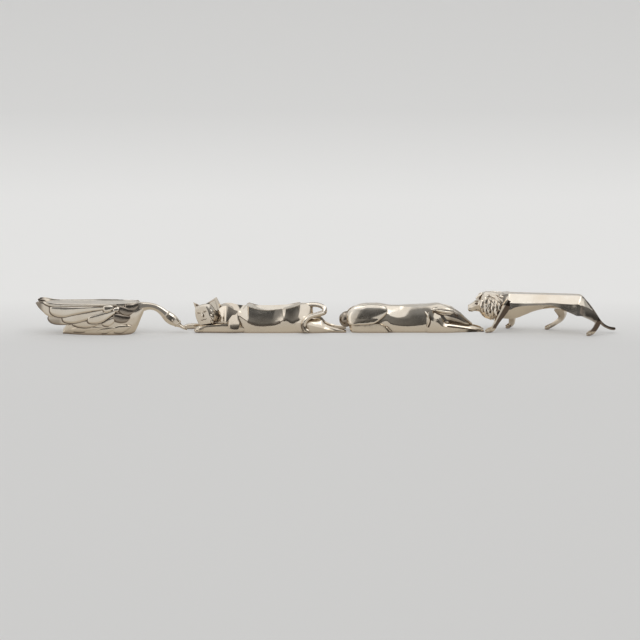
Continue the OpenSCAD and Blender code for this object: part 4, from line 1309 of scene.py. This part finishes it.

# %% [markdown]
# ## Table
# A pale paper lies under the figures and runs on behind them. Its colour is a painted light
# gradient, a shade deeper at the front, so the figures stand out against the lighter part. The colour
# follows the paper's own Object coordinates. It also glows a little, painted light that keeps the
# shadows faint.

# %% Table
FLOOR_FRONT, FLOOR_BACK, SWEEP_RADIUS, WALL_TOP, HALF_WIDTH = -4.0, 5.0, 1.5, 4.0, 5.0
path = [(FLOOR_FRONT, 0.0), (FLOOR_BACK, 0.0)]
path += [(FLOOR_BACK + SWEEP_RADIUS * math.sin(a), SWEEP_RADIUS * (1 - math.cos(a)))
         for a in np.linspace(0.05, math.pi / 2, 24)]
path.append((FLOOR_BACK + SWEEP_RADIUS, WALL_TOP))
verts = [(s * HALF_WIDTH, y, z) for y, z in path for s in (-1, 1)]
faces = [(2 * i, 2 * i + 1, 2 * i + 3, 2 * i + 2) for i in range(len(path) - 1)]
sweep_mesh = bpy.data.meshes.new("sweep")
sweep_mesh.from_pydata(verts, [], faces)
for p in sweep_mesh.polygons:
    p.use_smooth = True
sweep = bpy.data.objects.new("sweep", sweep_mesh)
bpy.context.scene.collection.objects.link(sweep)


PAPER_STOPS = ((0.0, 0.63), (0.08, 0.64), (0.155, 0.80), (0.40, 0.83), (0.75, 0.75))


def paper_with_painted_light():
    mat = bpy.data.materials.new("pale_paper")
    mat.use_nodes = True
    make = Recipe(mat.node_tree)
    shader = make.nodes["Principled BSDF"]
    shader.inputs["Roughness"].default_value = 0.8
    # Painted light: the paper glows, which keeps the shadows faint.
    shader.inputs["Emission Strength"].default_value = 0.37
    depth = make.axis(make.add("TexCoord", {}).outputs["Object"], "Y")
    # The colour ramp is a painted light gradient, deeper in front and lighter behind.
    tone = make.add("ValToRGB", {0: make.spread(depth, -0.2, 1.8, 0, 1)})
    stops = tone.color_ramp.elements
    while len(stops) < len(PAPER_STOPS):
        stops.new(0.5)
    for stop, (at, grey) in zip(stops, PAPER_STOPS):
        stop.position = at
        stop.color = (grey, grey * 0.995, grey * 0.98, 1)
    make.feed(shader.inputs["Base Color"], make.blend((0, 0, 0, 1), tone.outputs[0], 0.75))
    make.feed(shader.inputs["Emission Color"], tone.outputs[0])
    return mat


sweep_mesh.materials.append(paper_with_painted_light())
sweep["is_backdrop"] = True
print("paper", FLOOR_FRONT, "to", FLOOR_BACK, "m")

# %% [markdown]
# ## Light
# Metal shows what surrounds it, so the light is arranged for its reflections. The room is white
# above, dim in front up to a third of the way, white to the left and grey behind. A panel that
# leans back a little goes dark, one that leans more goes white, and an upright one mirrors the
# pale paper. A wide softbox overhead and a small one on the left add the brightest edges.

# %% Softboxes
def softbox(name, at, towards, size, brightness, tint=(1, 1, 1)):
    """A rectangle of light. Its power follows from its area and the brightness it should show."""
    light = bpy.data.lights.new(name, "AREA")
    light.shape = "RECTANGLE"
    light.size, light.size_y = size
    light.energy = brightness * math.pi * size[0] * size[1]
    light.color = tint
    obj = bpy.data.objects.new(name, light)
    obj.location = at
    obj.rotation_euler = (Vector(towards) - Vector(at)).to_track_quat("-Z", "Y").to_euler()
    bpy.context.scene.collection.objects.link(obj)
    print(name, round(light.energy, 2), "W")
    return obj


softbox("overhead", (0.0, -0.25, 1.5), (0, 0, 0), (2.4, 0.9), 0.92)
softbox("left_box", (-1.4, -1.0, 0.55), (0, 0, 0.02), (0.5, 0.9), 0.4, (1.0, 0.98, 0.96))

# %% [markdown]
# ## Room
# The world stands for the walls, floor and ceiling that the metal mirrors. Smooth ramps over the
# direction of view set how bright each is, and the brightest wins. An area light doesn't hide the
# world behind it, so a mirror would show both at once. The ceiling is dimmed where the softbox
# hangs, and the level backs don't burn out.

# %% Room
world = bpy.data.worlds.new("studio")
bpy.context.scene.world = world
world.use_nodes = True
make = Recipe(world.node_tree)
direction = make.add("TexCoord", {}).outputs["Generated"]
left_right, front_back, height = (make.axis(direction, letter) for letter in "XYZ")
walls = [
    # axis, from, to, brightness there and there
    (height, 0.10, 0.42, 0.07, 0.22),
    (height, 0.47, 0.60, 0.0, 0.86),
    (left_right, -0.34, -0.62, 0.0, 0.68),
    (front_back, -0.1, 0.3, 0.0, 0.45),
]
room = make.spread(*walls[0], "SMOOTHSTEP")
for wall in walls[1:]:
    room = make.maths("MAXIMUM", room, make.spread(*wall, "SMOOTHSTEP"))
ceiling = make.spread(height, 0.88, 0.93, 1.0, 0.08, "SMOOTHSTEP")
background = make.nodes["Background"]
make.feed(background.inputs["Color"], make.maths("MULTIPLY", room, ceiling))
background.inputs["Strength"].default_value = 1.0
print("room lit by", len(make.nodes), "nodes")

# %% [markdown]
# ## Camera
# A long lens from a little above the table keeps the row almost square to the view, as a
# catalogue picture of small table silver is taken.

# %% Camera
LOOK_AT = Vector((-0.0045, -0.0065, 0.0086))
ELEVATION, DISTANCE, LENS = math.radians(11), 1.6, 140.6
camera_data = bpy.data.cameras.new("camera")
camera_data.sensor_width = 36
camera_data.lens = LENS
camera_data.clip_end = 50
camera = bpy.data.objects.new("camera", camera_data)
camera.location = LOOK_AT + DISTANCE * Vector((0, -math.cos(ELEVATION), math.sin(ELEVATION)))
camera.rotation_euler = (math.pi / 2 - ELEVATION, 0, 0)
bpy.context.scene.collection.objects.link(camera)
bpy.context.scene.camera = camera
bpy.context.scene.view_settings.view_transform = "Standard"
print("camera", LENS, "mm lens")

# %% [markdown]
# ## Measure and finish
# The box of the finished figures is printed, in millimetres. The first has to stay inside the
# second.

# %% Measure and finish
low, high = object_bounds()
print("visual box", [round(v / MM, 2) for v in low], [round(v / MM, 2) for v in high])
